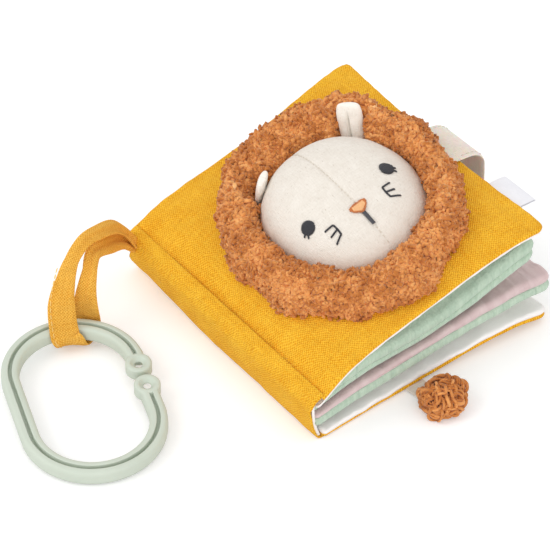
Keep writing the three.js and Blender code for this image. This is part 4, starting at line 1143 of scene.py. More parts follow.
def mane_grid(turns, sink):
    """Points of the mane's surface, sunk below the pile's tips, by turn and along its profile.
    The cloth stays behind each ear, and it lies lower below the chin."""
    angle, k = np.meshgrid(turns, np.arange(len(mane_profile)), indexing="ij")
    inner = face_radius(angle, SEAM_GAP * 2)
    turned = angle - MANE_TURN
    outer = 1 / np.hypot(np.cos(turned) / (MANE_WIDTH / 2), np.sin(turned) / (MANE_HEIGHT / 2))
    outer = outer * (1 + 0.02 * np.sin(11 * angle) + 0.014 * np.sin(7 * angle + 1)) + 0.8
    tall = MANE_DEPTH * (1 - 0.2 * swelling(angle, 275, 55) - 0.16 * swelling(angle, 230, 40))
    height = (tall - sink) * mane_profile[k, 1]
    for _, middle, lean, *_ in ears:
        away = (angle - middle + math.pi) % (2 * math.pi) - math.pi
        beside = np.abs(away) * face_radius(middle)
        behind = EAR_DEPTH + 1.2 + math.tan(max(0, lean)) * np.maximum(0, height - EAR_SEAT)
        inner = inner + behind * (1 - smooth_step(beside, EAR_WIDTH / 2 - 1.5, EAR_WIDTH / 2 + 2))
    radius = inner + mane_profile[k, 0] * (outer - sink - inner)
    u = head_u + radius * np.cos(angle)
    v = head_v + radius * np.sin(angle)
    bump = 0.09 * mottle(u, v, 12, 91) + 0.13 * mottle(u, v, 6.5, 92)
    return from_slope(u, v, cloth_height(u, v) + HEAD_SEAT_GAP + height * (1 + bump))


def paint_sherpa(wire):
    tone = wire.node("ShaderNodeAttribute", output="Fac", attribute_name="tone")
    hair = body_grain(wire, 1500, 3)
    colour = wire.node(
        "ShaderNodeValToRGB",
        {0: (tone + hair * 0.22 + body_grain(wire, 90) * 0.2 - 0.17).clear()},
        stops=[(0.0, tint(192, 116, 56)), (0.3, tint(232, 158, 90)),
               (0.65, tint(245, 182, 114)), (1.0, tint(253, 212, 158))],
    )
    return {"Base Color": colour, "Normal": relief(wire, hair, 0.25)}


sherpa = finish("sherpa", paint_sherpa, Roughness=1.0, Sheen_Weight=0.25, Sheen_Roughness=0.5,
                Specular_IOR_Level=0.08)


def scatter(points, normals, count, random):
    """Random spots on a grid surface, evenly by area, each with its normal."""
    p00, p10, p01 = points[:-1, :-1], points[1:, :-1], points[:-1, 1:]
    area = np.linalg.norm(np.cross(p10 - p00, p01 - p00), axis=-1)
    chance = (area / area.sum()).ravel()
    cell = random.choice(len(chance), count, p=chance)
    i, j = np.divmod(cell, points.shape[1] - 1)
    s, t = random.random(count)[:, None], random.random(count)[:, None]
    spot = points[i, j] + s * (points[i + 1, j] - points[i, j]) + t * (
        points[i, j + 1] - points[i, j])
    return spot, normals[i, j]


def lock_pile(roots, outs, random, thick, length, gather, rings, sides, shade=0.0):
    """Short crimped locks of pile, gathered in clumps. They spread from the middle of their clump
    and bend down at its edge. Each lock is a closed tube."""
    count = len(roots)
    centres = roots[::gather]
    nearest = np.empty(count, int)
    for i in range(0, count, 200):
        gaps = np.linalg.norm(roots[i:i + 200, None] - centres[None], axis=-1)
        nearest[i:i + 200] = gaps.argmin(axis=1)
    spread = roots - centres[nearest]
    spread -= (spread * outs).sum(1)[:, None] * outs
    reach = np.linalg.norm(spread, axis=1)
    heading = spread / (reach[:, None] + 0.6) + random.normal(size=(count, 3)) * 0.42
    heading = unit(heading - (heading * outs).sum(1)[:, None] * outs)
    sideways = np.cross(outs, heading)
    step = np.linspace(0, 1, rings)
    size = length * random.uniform(0.7, 1.3, count)[:, None]
    bend = random.uniform(2.8, 4.3, count)[:, None] * step
    swirl = (random.uniform(2.0, 4.5, count) * random.choice((-1, 1), count))[:, None] * step
    crest = np.clip(1.35 - 0.58 * reach, -0.4, 1.35) + random.uniform(-0.3, 0.3, count)
    forward = size * (1.1 * (1 - np.cos(bend)) - 0.5)
    height = crest[:, None] + size * 0.9 * np.sin(bend) - 0.5
    drift = size * 0.8 * np.sin(swirl)
    line = (
        roots[:, None] + forward[..., None] * heading[:, None]
        + drift[..., None] * sideways[:, None] + height[..., None] * outs[:, None]
    )
    along = unit(np.gradient(line, axis=1))
    side = unit(np.cross(along, outs[:, None]))
    taper = np.interp(step, [0, 0.15, 0.4, 0.7, 0.88, 1], [0.75, 0.95, 1.05, 1.05, 1, 0.7])
    width = thick * random.uniform(0.7, 1.25, count)[:, None] * taper
    points = around(line, width, side, np.cross(side, along), sides).reshape(-1, 3)
    faces = [
        [corner + start for corner in face]
        for start in range(0, len(points), rings * sides) for face in tube_faces(rings, sides)
    ]
    # Each lock's tone is random, with painted light on its high parts and painted shade on its low
    # parts and at its clump's edge; shade lowers a whole pile's tone as painted shade.
    tone_with_painted_shade = (random.uniform(0.3, 0.52, count)[:, None] + 0.17 * height - 0.05 * reach[:, None]
             - shade)
    return points, faces, np.repeat(tone_with_painted_shade, sides, axis=1)


backing_grid = mane_grid(np.linspace(0, 2 * math.pi, 361), PILE_HEIGHT + BACKING_SINK)[:-1]
# The backing's tones are set below the locks': painted shade in the gaps between the locks.
mane_backing = mesh_object(
    "mane_backing", backing_grid, tube_faces(*backing_grid.shape[:2], ends="looped"), sherpa,
    tones=0.24 + 0.1 * mottle(backing_grid[..., 0], backing_grid[..., 1], 3, 93),
)
dress(mane_backing, "front_cover", ["mane"])

MANE_LOCKS = 2350
mane_random = np.random.default_rng(17)
for part, name in enumerate(["mane_pile_a", "mane_pile_b", "mane_pile_c"]):
    turns = np.linspace(part * 2 * math.pi / 3, (part + 1) * 2 * math.pi / 3, 121)
    grid = mane_grid(turns, PILE_HEIGHT)
    roots, outs = scatter(grid, grid_normals(grid), MANE_LOCKS, mane_random)
    keep = np.ones(len(roots), bool)
    for _, angle, lean, length, *_ in ears:
        foot, across, axis, through = ear_axes(angle, lean)
        offset = roots - foot
        beside, above, depth = np.abs(offset @ across), offset @ axis, offset @ through
        keep &= ~(
            (beside < EAR_WIDTH / 2 + 0.8) & (above < length)
            & (np.abs(depth) < EAR_DEPTH / 2 + 1.6)
        )
    points, faces, tones = lock_pile(
        roots[keep], outs[keep], mane_random, thick=0.95, length=1.9, gather=10, rings=8, sides=5,
    )
    pile = mesh_object(name, points, faces, sherpa, tones=tones)
    dress(pile, "front_cover")

# Embroidery: eyes, nose, mouth and whiskers in satin stitch and back stitch, straight on the linen.
black_thread = thread_finish("black_thread", tint(62, 62, 68), tint(34, 34, 38))
grey_thread = thread_finish("grey_thread", tint(92, 92, 98), tint(56, 56, 60))
nose_light = thread_finish("nose_light", tint(246, 200, 150), tint(226, 164, 104))
nose_dark = thread_finish("nose_dark", tint(214, 132, 72), tint(176, 92, 40))
THREAD = 0.34
SATIN_PITCH = 0.42
EYE_WIDTH = 6.2
EYE_HEIGHT = 7.0
eye_across = FACE_WIDTH * 0.305
eye_up = -FACE_HEIGHT * 0.136


def stitch(from_across, from_up, to_across, to_up, puff=0.45, steps=9):
    """A stitch from one point of the face to another, standing up a little in its middle."""
    share = np.linspace(0, 1, steps)
    across = from_across + (to_across - from_across) * share
    up = from_up + (to_up - from_up) * share
    return face_at(across, up, 0.12 + puff * np.sin(share * math.pi) ** 0.6)


for side, name, node in ((-1, "eye_left", "left_eye"), (1, "eye_right", "right_eye")):
    lines = []
    for offset in np.arange(-EYE_WIDTH / 2 + 0.2, EYE_WIDTH / 2, SATIN_PITCH):
        reach = EYE_HEIGHT / 2 * math.sqrt(max(0, 1 - (offset / (EYE_WIDTH / 2)) ** 2)) + 0.1
        across = side * eye_across + offset
        lines.append(stitch(across, eye_up - reach, across + 0.25 * side, eye_up + reach))
    for lash, length in ((-16, 1.3), (-44, 1.4)):
        way = math.radians(lash)
        rim_across = EYE_WIDTH / 2 * math.cos(way)
        rim_up = EYE_HEIGHT / 2 * math.sin(way)
        for shift in (-0.28, 0, 0.28):
            lines.append(stitch(
                side * (eye_across + rim_across * 0.7), eye_up + rim_up * 0.7 + shift,
                side * (eye_across + rim_across + length * math.cos(way)),
                eye_up + rim_up + length * math.sin(way) + shift * 0.4, 0.3,
            ))
    eye = mesh_object(name, *thread_run(lines, THREAD), black_thread)
    dress(eye, "front_cover", [node])

NOSE_WIDTH = 9
NOSE_HEIGHT = 5.8
nose_up = -FACE_HEIGHT * 0.252


def cubic(p0, p1, p2, p3, steps):
    t = np.linspace(0, 1, steps)[:, None]
    p0, p1, p2, p3 = (np.array(p, float) for p in (p0, p1, p2, p3))
    return p0 * (1 - t) ** 3 + 3 * p1 * t * (1 - t) ** 2 + 3 * p2 * t**2 * (1 - t) + p3 * t**3


half_nose = NOSE_WIDTH / 2
nose_right = cubic(
    (0, -NOSE_HEIGHT / 2), (half_nose / 2, -NOSE_HEIGHT / 3), (half_nose, 0),
    (half_nose, NOSE_HEIGHT / 4), 16,
)
nose_top = cubic(
    (half_nose, NOSE_HEIGHT / 4), (half_nose, NOSE_HEIGHT / 2), (-half_nose, NOSE_HEIGHT / 2),
    (-half_nose, NOSE_HEIGHT / 4), 20,
)
nose_left = nose_right[::-1] * (-1, 1)
nose_outline = np.concatenate([nose_right[:-1], nose_top[:-1], nose_left[:-1]])
nose_random = np.random.default_rng(5)
rim_lines = []
for x, y in nose_outline:
    far, near = nose_random.uniform(1.0, 1.14), nose_random.uniform(0.52, 0.74)
    slant = nose_random.uniform(-0.4, 0.4)
    rim_lines.append(stitch(
        x * far, nose_up + y * far, x * near + slant, nose_up + (y - 0.2) * near, 0.4, 6,
    ))
nose_rim = mesh_object("nose_rim", *thread_run(rim_lines, 0.27), nose_dark)
dress(nose_rim, "front_cover")
fill_lines = []
for offset in np.arange(-half_nose * 0.72, half_nose * 0.72, SATIN_PITCH):
    share = abs(offset) / half_nose
    low = -NOSE_HEIGHT / 2 * (0.78 - share * 0.75)
    high = NOSE_HEIGHT * 0.34
    fill_lines.append(stitch(offset, nose_up + low, offset * 0.92, nose_up + high, 0.5))
nose_fill = mesh_object("nose_fill", *thread_run(fill_lines, THREAD), nose_light)
dress(nose_fill, "front_cover", ["nose"])

MOUTH_LENGTH = 6.6
MOUTH_WIDTH = 2.0
mouth_top = nose_up - NOSE_HEIGHT / 2 + 0.1
mouth_lines = [
    stitch(-MOUTH_WIDTH / 2, mouth_top - d, MOUTH_WIDTH / 2, mouth_top - d - 0.15, 0.4, 7)
    for d in np.arange(0.1, MOUTH_LENGTH, 0.44)
]
mouth = mesh_object("mouth", *thread_run(mouth_lines, 0.3), grey_thread)
dress(mouth, "front_cover", ["mouth_stitch"])

WHISKER_SPACING = 2.7
whisker_across = FACE_WIDTH * 0.19
whisker_up = -FACE_HEIGHT * 0.265
whisker_rows = [(1, 6, 5.9), (0, -6, 5.4), (-1, -19, 5.2)]
for side, name, node in (
    (-1, "whiskers_left", "left_whiskers"), (1, "whiskers_right", "right_whiskers"),
):
    lines = []
    for row, tilt, length in whisker_rows:
        tilt = math.radians(tilt)
        first_across = whisker_across + 0.35 * row * row
        first_up = whisker_up + row * WHISKER_SPACING
        for start in np.arange(0, length - 1.9, 1.45):
            for shift in (-0.2, 0.2):
                reach_from, reach_to = start - 0.3, start + 1.9
                lines.append(stitch(
                    side * (first_across + reach_from * math.cos(tilt)),
                    first_up + reach_from * math.sin(tilt) + shift,
                    side * (first_across + reach_to * math.cos(tilt)),
                    first_up + reach_to * math.sin(tilt) + shift, 0.22, 7,
                ))
    for start in np.arange(-WHISKER_SPACING, WHISKER_SPACING - 1.2, 1.3):
        for shift in (-0.3, 0.15):
            foot, tip = start - 0.2, start + 1.5
            lines.append(stitch(
                side * (whisker_across + shift + 0.1 * abs(start)), whisker_up + foot,
                side * (whisker_across + shift + 0.1 * abs(start + 1.3)), whisker_up + tip, 0.2, 6,
            ))
    whisker = mesh_object(name, *thread_run(lines, 0.26), black_thread)
    dress(whisker, "front_cover", [node])

# Closure strap: a doubled band of linen, sewn on under the mane and stitched round its edges. It
# bends over the fore-edge and hangs behind the leaves, with hook tape inside its free end.
STRAP_WIDTH = 29
STRAP_THICKNESS = 1.6
STRAP_PLACE = -3
STRAP_REACH = 14.5
STRAP_BEND = 7
STRAP_FLOOR_GAP = 12
STRAP_STITCH_INSET = 2.2


def strip_piece(name, knots, width, thickness, material, steps=120, columns=31, swell=None,
                shift=0.0, end_round=0.0):
    """A band of cloth along a route, and the lines that its stitches follow. Each knot is a point
    of its middle and its direction across."""
    route = through_points(knots, steps)
    middle = route[:, :3]
    along = unit(np.gradient(middle, axis=0))
    across = route[:, 3:] - (route[:, 3:] * along).sum(1)[:, None] * along
    across = unit(across)
    through = np.cross(along, across)
    reach = run_length(middle)
    column = np.sin(np.linspace(-math.pi / 2, math.pi / 2, columns))
    pull = rounding(np.minimum(reach, reach[-1] - reach)[:, None], end_round)
    if not np.isscalar(width):
        width = np.interp(np.linspace(0, 1, steps), *width)[:, None]
    wide = (width / 2 - pull) * column
    soft = np.maximum(0.12, np.sqrt(1 - column**8)) * thickness / 2
    swelling = 0 if swell is None else swell(reach[:, None], wide)
    base = middle[:, None] + wide[..., None] * across[:, None]
    outer = base + (soft + swelling)[..., None] * through[:, None]
    inner = base - (soft - swelling)[..., None] * through[:, None]
    flat = np.stack([np.broadcast_to(reach[:, None] + shift, wide.shape), wide], axis=-1)
    return closed_skin(name, outer, inner, flat, material), (middle, across, through, reach)


def square_knots(place, spots):
    """Knots of a band that runs square to the fore-edge, from the x and z of its middle."""
    return [(x, place, z, 0, 1, 0) for x, z in spots]


strap_share = np.array(STRAP_PLACE / (COVER_HEIGHT / 2))
strap_start_x = float(front_pad.place(np.array(1.0), strap_share)[0]) + SEAM_GAP * 2
strap_hang_x = strap_start_x + STRAP_REACH
strap_top_z = float(front_seam(strap_start_x, STRAP_PLACE)) + RIM / 2
strap_spots = []
for x in (30, 38, 46, 52):
    a, b = front_pad.locate(np.array(float(x)), np.array(float(STRAP_PLACE)))
    strap_spots.append((x, float(front_top(a, b, x, STRAP_PLACE)) + 1.5))
strap_spots += [
    (strap_start_x - 2, strap_top_z + 2.4),
    (strap_hang_x - STRAP_BEND + 0.5, strap_top_z + 1.0),
    (strap_hang_x - 1.2, strap_top_z - 3.6),
    (strap_hang_x, strap_top_z - 11),
    (strap_hang_x + 0.2, 36),
    (strap_hang_x, STRAP_FLOOR_GAP),
]


def strap_swell(reach, wide):
    edge = STRAP_WIDTH / 2 - np.abs(wide)
    channel = -0.125 * np.exp(-(((edge - STRAP_STITCH_INSET) / 0.5) ** 2))
    return channel + 0.3 * mottle(reach, wide, 13, 101) * smooth_step(edge, 0, 4)


strap_linen = linen_finish(
    "strap_linen", tint(248, 240, 230), tint(214, 202, 187), tint(158, 138, 116),
    Subsurface_Weight=0.6, Subsurface_Scale=0.003,
)
strap, strap_band = strip_piece(
    "strap", square_knots(STRAP_PLACE, strap_spots), STRAP_WIDTH, STRAP_THICKNESS, strap_linen, 130,
    41, strap_swell, 200, 2.5,
)
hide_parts("closure_strap")
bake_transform(strap)


def paint_fastener(wire):
    """Hook and loop tape: a dense field of tiny loops."""
    where = wire.node("ShaderNodeTexCoord", output="Object")
    loops = wire.node("ShaderNodeTexVoronoi", {"Vector": where, "Scale": 900.0})
    colour = loops.between(0.1, 0.7).shades(tint(240, 235, 226), tint(204, 196, 184))
    return {"Base Color": colour, "Normal": relief(wire, 1 - loops, 0.3)}


fastener = finish("fastener", paint_fastener, Roughness=0.8, Specular_IOR_Level=0.25)
TAPE_LENGTH = 20
TAPE_WIDTH = 25.8
TAPE_THICKNESS = 0.9
TAPE_INSET = 1.6
tape_x = strap_hang_x - STRAP_THICKNESS / 2 - 0.75
tape_foot = STRAP_FLOOR_GAP + TAPE_INSET
tape_knots = square_knots(STRAP_PLACE, [
    (tape_x, tape_foot + TAPE_LENGTH), (tape_x, STRAP_FLOOR_GAP + 12), (tape_x, tape_foot),
])
hook_tape, _ = strip_piece(
    "hook_tape", tape_knots, TAPE_WIDTH, TAPE_THICKNESS, fastener, 30, 25, end_round=1.5,
)
dress(hook_tape, "strap", ["strap_hook_tape"])
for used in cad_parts["cover_loop_patch"].material_slots:
    used.material = fastener

# Label: a tab of white satin ribbon, folded in half and caught in the fore-edge seam. It is bare.
LABEL_LENGTH = 11
LABEL_WIDTH = 22
LABEL_PLACE = -46
RIBBON = 0.36


def paint_ribbon(wire):
    where = cloth_place(wire)
    streak = grain(wire, stretch(wire, where, 5, 0.4), 1)
    colour = (streak * 0.6 + grain(wire, where, 5) * 0.5).clear().shades(
        tint(222, 222, 228), tint(246, 246, 250))
    return {"Base Color": colour, "Normal": relief(wire, streak, 0.06)}


ribbon_satin = finish("ribbon_satin", paint_ribbon, Roughness=0.35, Specular_IOR_Level=0.5,
                      Sheen_Weight=0.1)
label_share = np.array((LABEL_PLACE - LABEL_WIDTH / 2) / (COVER_HEIGHT / 2))
label_x = float(front_pad.place(np.array(1.0), label_share)[0]) - 1.5
label_z = float(front_seam(label_x, LABEL_PLACE)) + 0.1
label_knots = square_knots(LABEL_PLACE, [
    (label_x + out, label_z + up) for out, up in (
        (0, 0.42), (5, 0.75), (10, 0.62), (LABEL_LENGTH + 1.2, 0.2), (LABEL_LENGTH + 1.5, -0.1),
        (LABEL_LENGTH + 1.0, -0.42), (9.5, -0.25), (5, -0.2), (0, -0.2),
    )
])
label, _ = strip_piece("label", label_knots, LABEL_WIDTH, RIBBON, ribbon_satin, 90, 25)
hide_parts("side_label")
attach(label, "front_cover")

# Loop: a folded strip of the covers' muslin, edge-stitched, that leaves the head end of the spine,
# goes round the ring's bar and comes back to the same seam.
LOOP_WIDTH = 14
LOOP_THICKNESS = 1.4
LOOP_STITCH_INSET = 1.8
LOOP_OPENS = (38, 62)
LOOP_CLOSES = (120, 150)
loop_route = [
    (-70.4, 67.2, 22.0, 0.00, -0.74, -0.67), (-74.7, 69.2, 29.4, -0.05, -0.86, -0.50),
    (-82.1, 67.8, 37.7, 0.05, -0.88, -0.48), (-93.4, 63.3, 43.2, 0.28, -0.88, -0.40),
    (-103.5, 60.8, 44.3, 0.48, -0.80, -0.38), (-112.7, 57.4, 40.2, 0.62, -0.72, -0.32),
    (-119.8, 52.9, 34.0, 0.74, -0.62, -0.26), (-125.7, 48.4, 24.4, 0.86, -0.48, -0.08),
    (-128.0, 43.3, 11.2, 0.90, -0.42, 0.10), (-126.3, 41.8, 6.8, 0.81, -0.51, 0.29),
    (-124.2, 42.9, 3.3, 0.68, -0.69, 0.22), (-121.0, 45.1, 1.5, 0.56, -0.83, 0.07),
    (-117.3, 47.3, 2.0, 0.48, -0.86, -0.16), (-113.8, 48.4, 4.4, 0.50, -0.78, -0.38),
    (-112.2, 48.2, 9.3, 0.66, -0.74, -0.16), (-113.4, 46.8, 19.0, 0.68, -0.74, 0.00),
    (-112.4, 47.1, 27.5, 0.71, -0.70, 0.03), (-108.0, 50.6, 34.2, 0.62, -0.77, -0.15),
    (-101.0, 57.4, 37.7, 0.30, -0.84, -0.45), (-90.4, 61.7, 34.5, 0.08, -0.78, -0.62),
    (-80.1, 67.2, 28.0, -0.01, -0.87, -0.50), (-73.9, 68.4, 22.4, -0.05, -0.80, -0.60),
    (-70.0, 68.9, 19.1, 0.00, -0.74, -0.67),
]
loop_widths = (
    [0, 0.08, 0.14, 0.19, 0.23, 0.27, 0.32, 0.37, 0.6, 0.68, 0.73, 0.78, 0.82, 0.87, 0.93, 1],
    [8, 8.4, 8.2, 7, 6.8, 9, 13, 14, 14, 12, 9.5, 7, 7.6, 9.4, 9, 8],
)


def loop_swell(reach, wide):
    """The strip lies open round the ring, and is creased lengthwise outside that."""
    edge = np.max(wide, axis=1, keepdims=True) - np.abs(wide)
    channel = -0.2 * np.exp(-(((wide + LOOP_WIDTH / 2 - LOOP_STITCH_INSET) / 0.45) ** 2))
    folded = 1 - smooth_step(reach, *LOOP_OPENS) + smooth_step(reach, *LOOP_CLOSES)
    crease = folded * (1.3 * np.cos(wide * 0.9 + 0.5) - 0.8 * np.exp(-(((wide - 0.8) / 0.8) ** 2)))
    soft = 0.4 * mottle(reach, wide, 8, 111) + 0.14 * mottle(reach, wide, 3, 112)
    return channel + (soft + crease * 0.6) * smooth_step(edge, 0, 2.5)


# Its third colour is the painted crease shade, as on the covers' muslin.
loop_muslin = muslin_finish(
    "loop_muslin", tint(252, 196, 88), tint(226, 152, 40), tint(204, 132, 34)
)
loop, loop_band = strip_piece(
    "loop_strip", loop_route, loop_widths, LOOP_THICKNESS, loop_muslin, 260, 31, loop_swell, 300,
)
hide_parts("ring_loop")
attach(loop, "loop")


def strip_stitches(band, edges, lift, first, last, pitch=2.9, length=2.2):
    """A row of stitches along a band, at a distance from its middle, on one of its faces."""
    middle, across, through, reach = band
    lines = []
    for start in np.arange(first, last - length, pitch):
        share = np.linspace(0, 1, 6)
        spot = start + share * length
        line, sideways, out = (
            np.stack([np.interp(spot, reach, part[:, i]) for i in range(3)], axis=-1)
            for part in (middle, across, through)
        )
        rise = lift + 0.18 * math.copysign(1, lift) * np.sin(share * math.pi)
        lines.append(line + edges * sideways + out * rise[:, None])
    return lines


loop_length, strap_length = loop_band[-1][-1], strap_band[-1][-1]
loop_lines = []
for lift in (0.85, -0.85):
    loop_lines += strip_stitches(
        loop_band, -LOOP_WIDTH / 2 + LOOP_STITCH_INSET, lift, loop_length * 0.31,
        loop_length * 0.6,
    )
loop_stitches = mesh_object("loop_stitches", *thread_run(loop_lines, 0.27), yellow_thread)
dress(loop_stitches, "loop")
strap_lines = []
for side in (-1, 1):
    strap_lines += strip_stitches(
        strap_band, side * (STRAP_WIDTH / 2 - STRAP_STITCH_INSET), 0.62, strap_length - 62,
        strap_length - 3,
    )
strap_stitches = mesh_object("strap_stitches", *thread_run(strap_lines, 0.22), seam_thread)
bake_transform(strap_stitches)

# Ring: moulded in one piece from matt sage plastic, with a groove round its upper side and two
# countersunk eyelets where its ends meet. It lies on the table, raised a little by the loop.
RING_BAR_WIDTH = 8.5
RING_BAR_HEIGHT = 8.0
RING_END_RADIUS = 29.6
RING_STRAIGHT = 34.2
RING_END_STEPS = 60
GROOVE_WIDTH = 1.8
GROOVE_DEPTH = 3.2
EYELET_RADIUS = 6.25
EYELET_SPACING = 14.4
EYELET_SHIFT = 4.7
EYELET_MOUTH = 4.0
EYELET_BORE = 1.85
EYELET_SINK = 1.8
EYELET_LIP = 0.4
EYELET_FOOT = -2.0
EYELET_HOLLOW = 5.6
EYELET_SIDES = 72
BAR_STOP = 3.7
RING_TURN = math.radians(71.6)
RING_RISE = 4.2
RING_LEAN = math.asin(RING_RISE / (RING_STRAIGHT + 2 * RING_END_RADIUS))
half_bar = RING_BAR_WIDTH / 2
half_height = RING_BAR_HEIGHT / 2
ring_place = (
    Matrix.Translation((-COVER_WIDTH * 1.033, COVER_HEIGHT * 0.037,
                        half_height + RING_RISE / 2 + half_bar * math.sin(RING_LEAN)))
    @ Matrix.Rotation(RING_TURN - math.pi / 2, 4, "Z")
    @ Matrix.Rotation(RING_LEAN, 4, "X")
)


def rounded(corners, radii, steps=6):
    """A closed outline with each corner rounded to its own radius."""
    points = []
    for i, corner in enumerate(corners):
        before, after = corners[i - 1], corners[(i + 1) % len(corners)]
        corner, before, after = (np.array(p, float) for p in (corner, before, after))
        first, last = unit(before - corner), unit(after - corner)
        for t in np.linspace(0, 1, steps):
            p0, p2 = corner + first * radii[i], corner + last * radii[i]
            points.append(p0 * (1 - t) ** 2 + 2 * corner * t * (1 - t) + p2 * t**2)
    return np.array(points)


bar_outline = rounded(
    [(-half_bar, -half_height), (half_bar, -half_height), (half_bar, half_height),
     (GROOVE_WIDTH / 2, half_height), (GROOVE_WIDTH / 2, half_height - GROOVE_DEPTH),
     (-GROOVE_WIDTH / 2, half_height - GROOVE_DEPTH), (-GROOVE_WIDTH / 2, half_height),
     (-half_bar, half_height)],
    [2.6, 2.6, 2.4, 0.35, 0.3, 0.3, 0.35, 2.4],
)
upper_stop = EYELET_SHIFT + EYELET_SPACING / 2 + BAR_STOP
lower_stop = EYELET_SHIFT - EYELET_SPACING / 2 - BAR_STOP
ring_route = [(RING_END_RADIUS, upper_stop, 1, 0)]
for end, first in ((1, 0), (-1, math.pi)):
    for angle in np.linspace(first, first + math.pi, RING_END_STEPS):
        x, y = math.cos(angle), math.sin(angle)
        ring_route.append(
            (RING_END_RADIUS * x, end * RING_STRAIGHT / 2 + RING_END_RADIUS * y, x, y)
        )
ring_route = np.array(ring_route + [(RING_END_RADIUS, lower_stop, 1, 0)])
bar_points = np.concatenate([
    ring_route[:, None, :2] + bar_outline[None, :, :1] * ring_route[:, None, 2:],
    np.broadcast_to(bar_outline[None, :, 1:], (len(ring_route), len(bar_outline), 1)),
], axis=-1)


def paint_plastic(wire):
    cloud = body_grain(wire, 60)
    return {
        "Base Color": cloud.shades(tint(196, 205, 190), tint(206, 214, 200)),
        "Roughness": cloud * 0.12 + 0.4,
        "Normal": relief(wire, body_grain(wire, 1500), 0.012),
    }


sage_plastic = finish("sage_plastic", paint_plastic, Specular_IOR_Level=0.4)
ring = mesh_object("clip_ring", bar_points, tube_faces(*bar_points.shape[:2]), sage_plastic)
eyelet_profile = rounded(
    [(EYELET_BORE, EYELET_FOOT), (EYELET_RADIUS, EYELET_FOOT), (EYELET_RADIUS, half_height),
     (EYELET_MOUTH, half_height), (EYELET_BORE, half_height - EYELET_SINK)],
    [0.2, 0.5, 1.3, 0.4, 0.3],
)
lip_under = half_height - EYELET_SINK - EYELET_LIP
hollow_profile = np.array([
    (EYELET_BORE, lip_under), (EYELET_HOLLOW, EYELET_FOOT), (EYELET_HOLLOW, -half_height - 1),
])


def join_to_ring(profile, ends, side, operation):
    """Adds a turned solid to the ring, or cuts one from it, at one of the two eyelets."""
    way = np.arange(EYELET_SIDES) / EYELET_SIDES * 2 * math.pi
    radius, height = profile[:, :1], profile[:, 1:]
    turned = np.stack(np.broadcast_arrays(
        RING_END_RADIUS + radius * np.cos(way),
        EYELET_SHIFT + side * EYELET_SPACING / 2 + radius * np.sin(way), height,
    ), axis=-1)
    faces = tube_faces(*turned.shape[:2], ends=ends)
    piece = mesh_object("eyelet", turned, faces, sage_plastic)
    joined = ring.modifiers.new("join", "BOOLEAN")
    joined.operation = operation
    joined.solver = "EXACT"
    joined.object = piece
    bpy.context.view_layer.update()
    depsgraph = bpy.context.evaluated_depsgraph_get()
    whole = bpy.data.meshes.new_from_object(ring.evaluated_get(depsgraph))
    ring.modifiers.clear()
    ring.data = whole
    bpy.data.objects.remove(piece)


for profile, ends, operation in (
    (eyelet_profile, "looped", "UNION"), (hollow_profile, "flat", "DIFFERENCE"),
):
    for side in (1, -1):
        join_to_ring(profile, ends, side, operation)
ring.data.transform(Matrix.Scale(METRE, 4) @ ring_place @ Matrix.Scale(1 / METRE, 4))
dress(ring, "clip_ring", ["ring"])

# Tail: a strip of linen from under the back cover, with a tuft of the mane's cloth at its end.
TAIL_WIDTH = 11
TAIL_THICKNESS = 1.1
TAIL_PLACE = -11
TAIL_TUCK = 2
TAIL_FREE = 11.8
TAIL_TURN = math.radians(5)
TUFT_WIDTH = 25
TUFT_LENGTH = 22
TUFT_HEIGHT = 12
TUFT_LOCKS = 540
TUFT_SHRINK = 0.43
tail_root = np.array([TAIL_PLACE, -COVER_HEIGHT / 2 + COVER_DRAW_IN + TAIL_TUCK, 0.0])


def on_tail(x, y, z):
    """A point of the tail in the model's frame: y runs down the tail from its root."""
    return tail_root + np.stack([
        x * math.cos(TAIL_TURN) + y * math.sin(TAIL_TURN),
        x * math.sin(TAIL_TURN) - y * math.cos(TAIL_TURN), z], axis=-1)


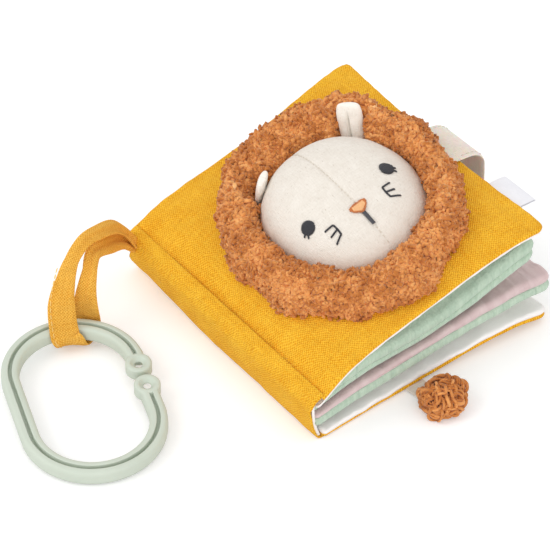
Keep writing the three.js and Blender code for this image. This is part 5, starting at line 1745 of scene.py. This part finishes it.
tail_across = (math.cos(TAIL_TURN), math.sin(TAIL_TURN), 0)
tail_knots = [
    (*on_tail(np.array(0.0), np.array(y), np.array(z)), *tail_across)
    for y, z in ((0.2, 0.65), (5.0, 0.7), (9.5, 1.0), (TAIL_TUCK + TAIL_FREE + 1, 1.6))
]
tail_band, _ = strip_piece(
    "tail_band", tail_knots, TAIL_WIDTH, TAIL_THICKNESS, linen, 40, 25, shift=400,
)
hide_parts("tail_strip")
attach(tail_band, "tail")

tuft_middle = TAIL_TUCK + TAIL_FREE - TUFT_LENGTH * 0.165 + TUFT_LENGTH / 2
tuft_turns, tuft_rises = np.meshgrid(
    np.linspace(0, 2 * math.pi, 61), np.linspace(0, math.pi, 41), indexing="ij",
)
tuft_shape = 0.8 + 0.1 * np.sin(5 * tuft_turns + 0.6) * np.sin(tuft_rises)
tuft_grid = on_tail(
    TUFT_WIDTH * TUFT_SHRINK * tuft_shape * np.sin(tuft_rises) * np.cos(tuft_turns),
    tuft_middle + TUFT_LENGTH * TUFT_SHRINK * tuft_shape * np.sin(tuft_rises) * np.sin(tuft_turns),
    TUFT_HEIGHT / 2 + SEAM_GAP - 0.2 + TUFT_HEIGHT / 2 * tuft_shape * np.cos(tuft_rises),
)
tuft_outs = unit(tuft_grid - tuft_grid.reshape(-1, 3).mean(0))
tuft_random = np.random.default_rng(29)
roots, outs = scatter(tuft_grid, tuft_outs, TUFT_LOCKS, tuft_random)
above = roots[:, 2] > 1.5
# shade darkens the tuft's locks below the mane's: painted shade.
points, faces, tones = lock_pile(
    roots[above], outs[above], tuft_random, thick=0.68, length=2.3, gather=6, rings=10, sides=6,
    shade=0.74,
)
points[:, 2] = np.maximum(points[:, 2], 0.1)
tuft_pile = mesh_object("tuft_pile", points, faces, sherpa, tones=tones)
dress(tuft_pile, "tail")
core = tuft_grid[:-1, 1:-1].transpose(1, 0, 2)
core_points = np.concatenate([core.reshape(-1, 3), tuft_grid[0, [0, -1]]])
# The core's low tone is painted shade in the gaps between the tuft's locks.
tuft_core = mesh_object(
    "tuft_core", core_points, tube_faces(*core.shape[:2], ends="poles"), sherpa,
    tones=np.full(len(core_points), 0.2),
)
dress(tuft_core, "tail", ["tail_tuft"])

low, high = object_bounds()
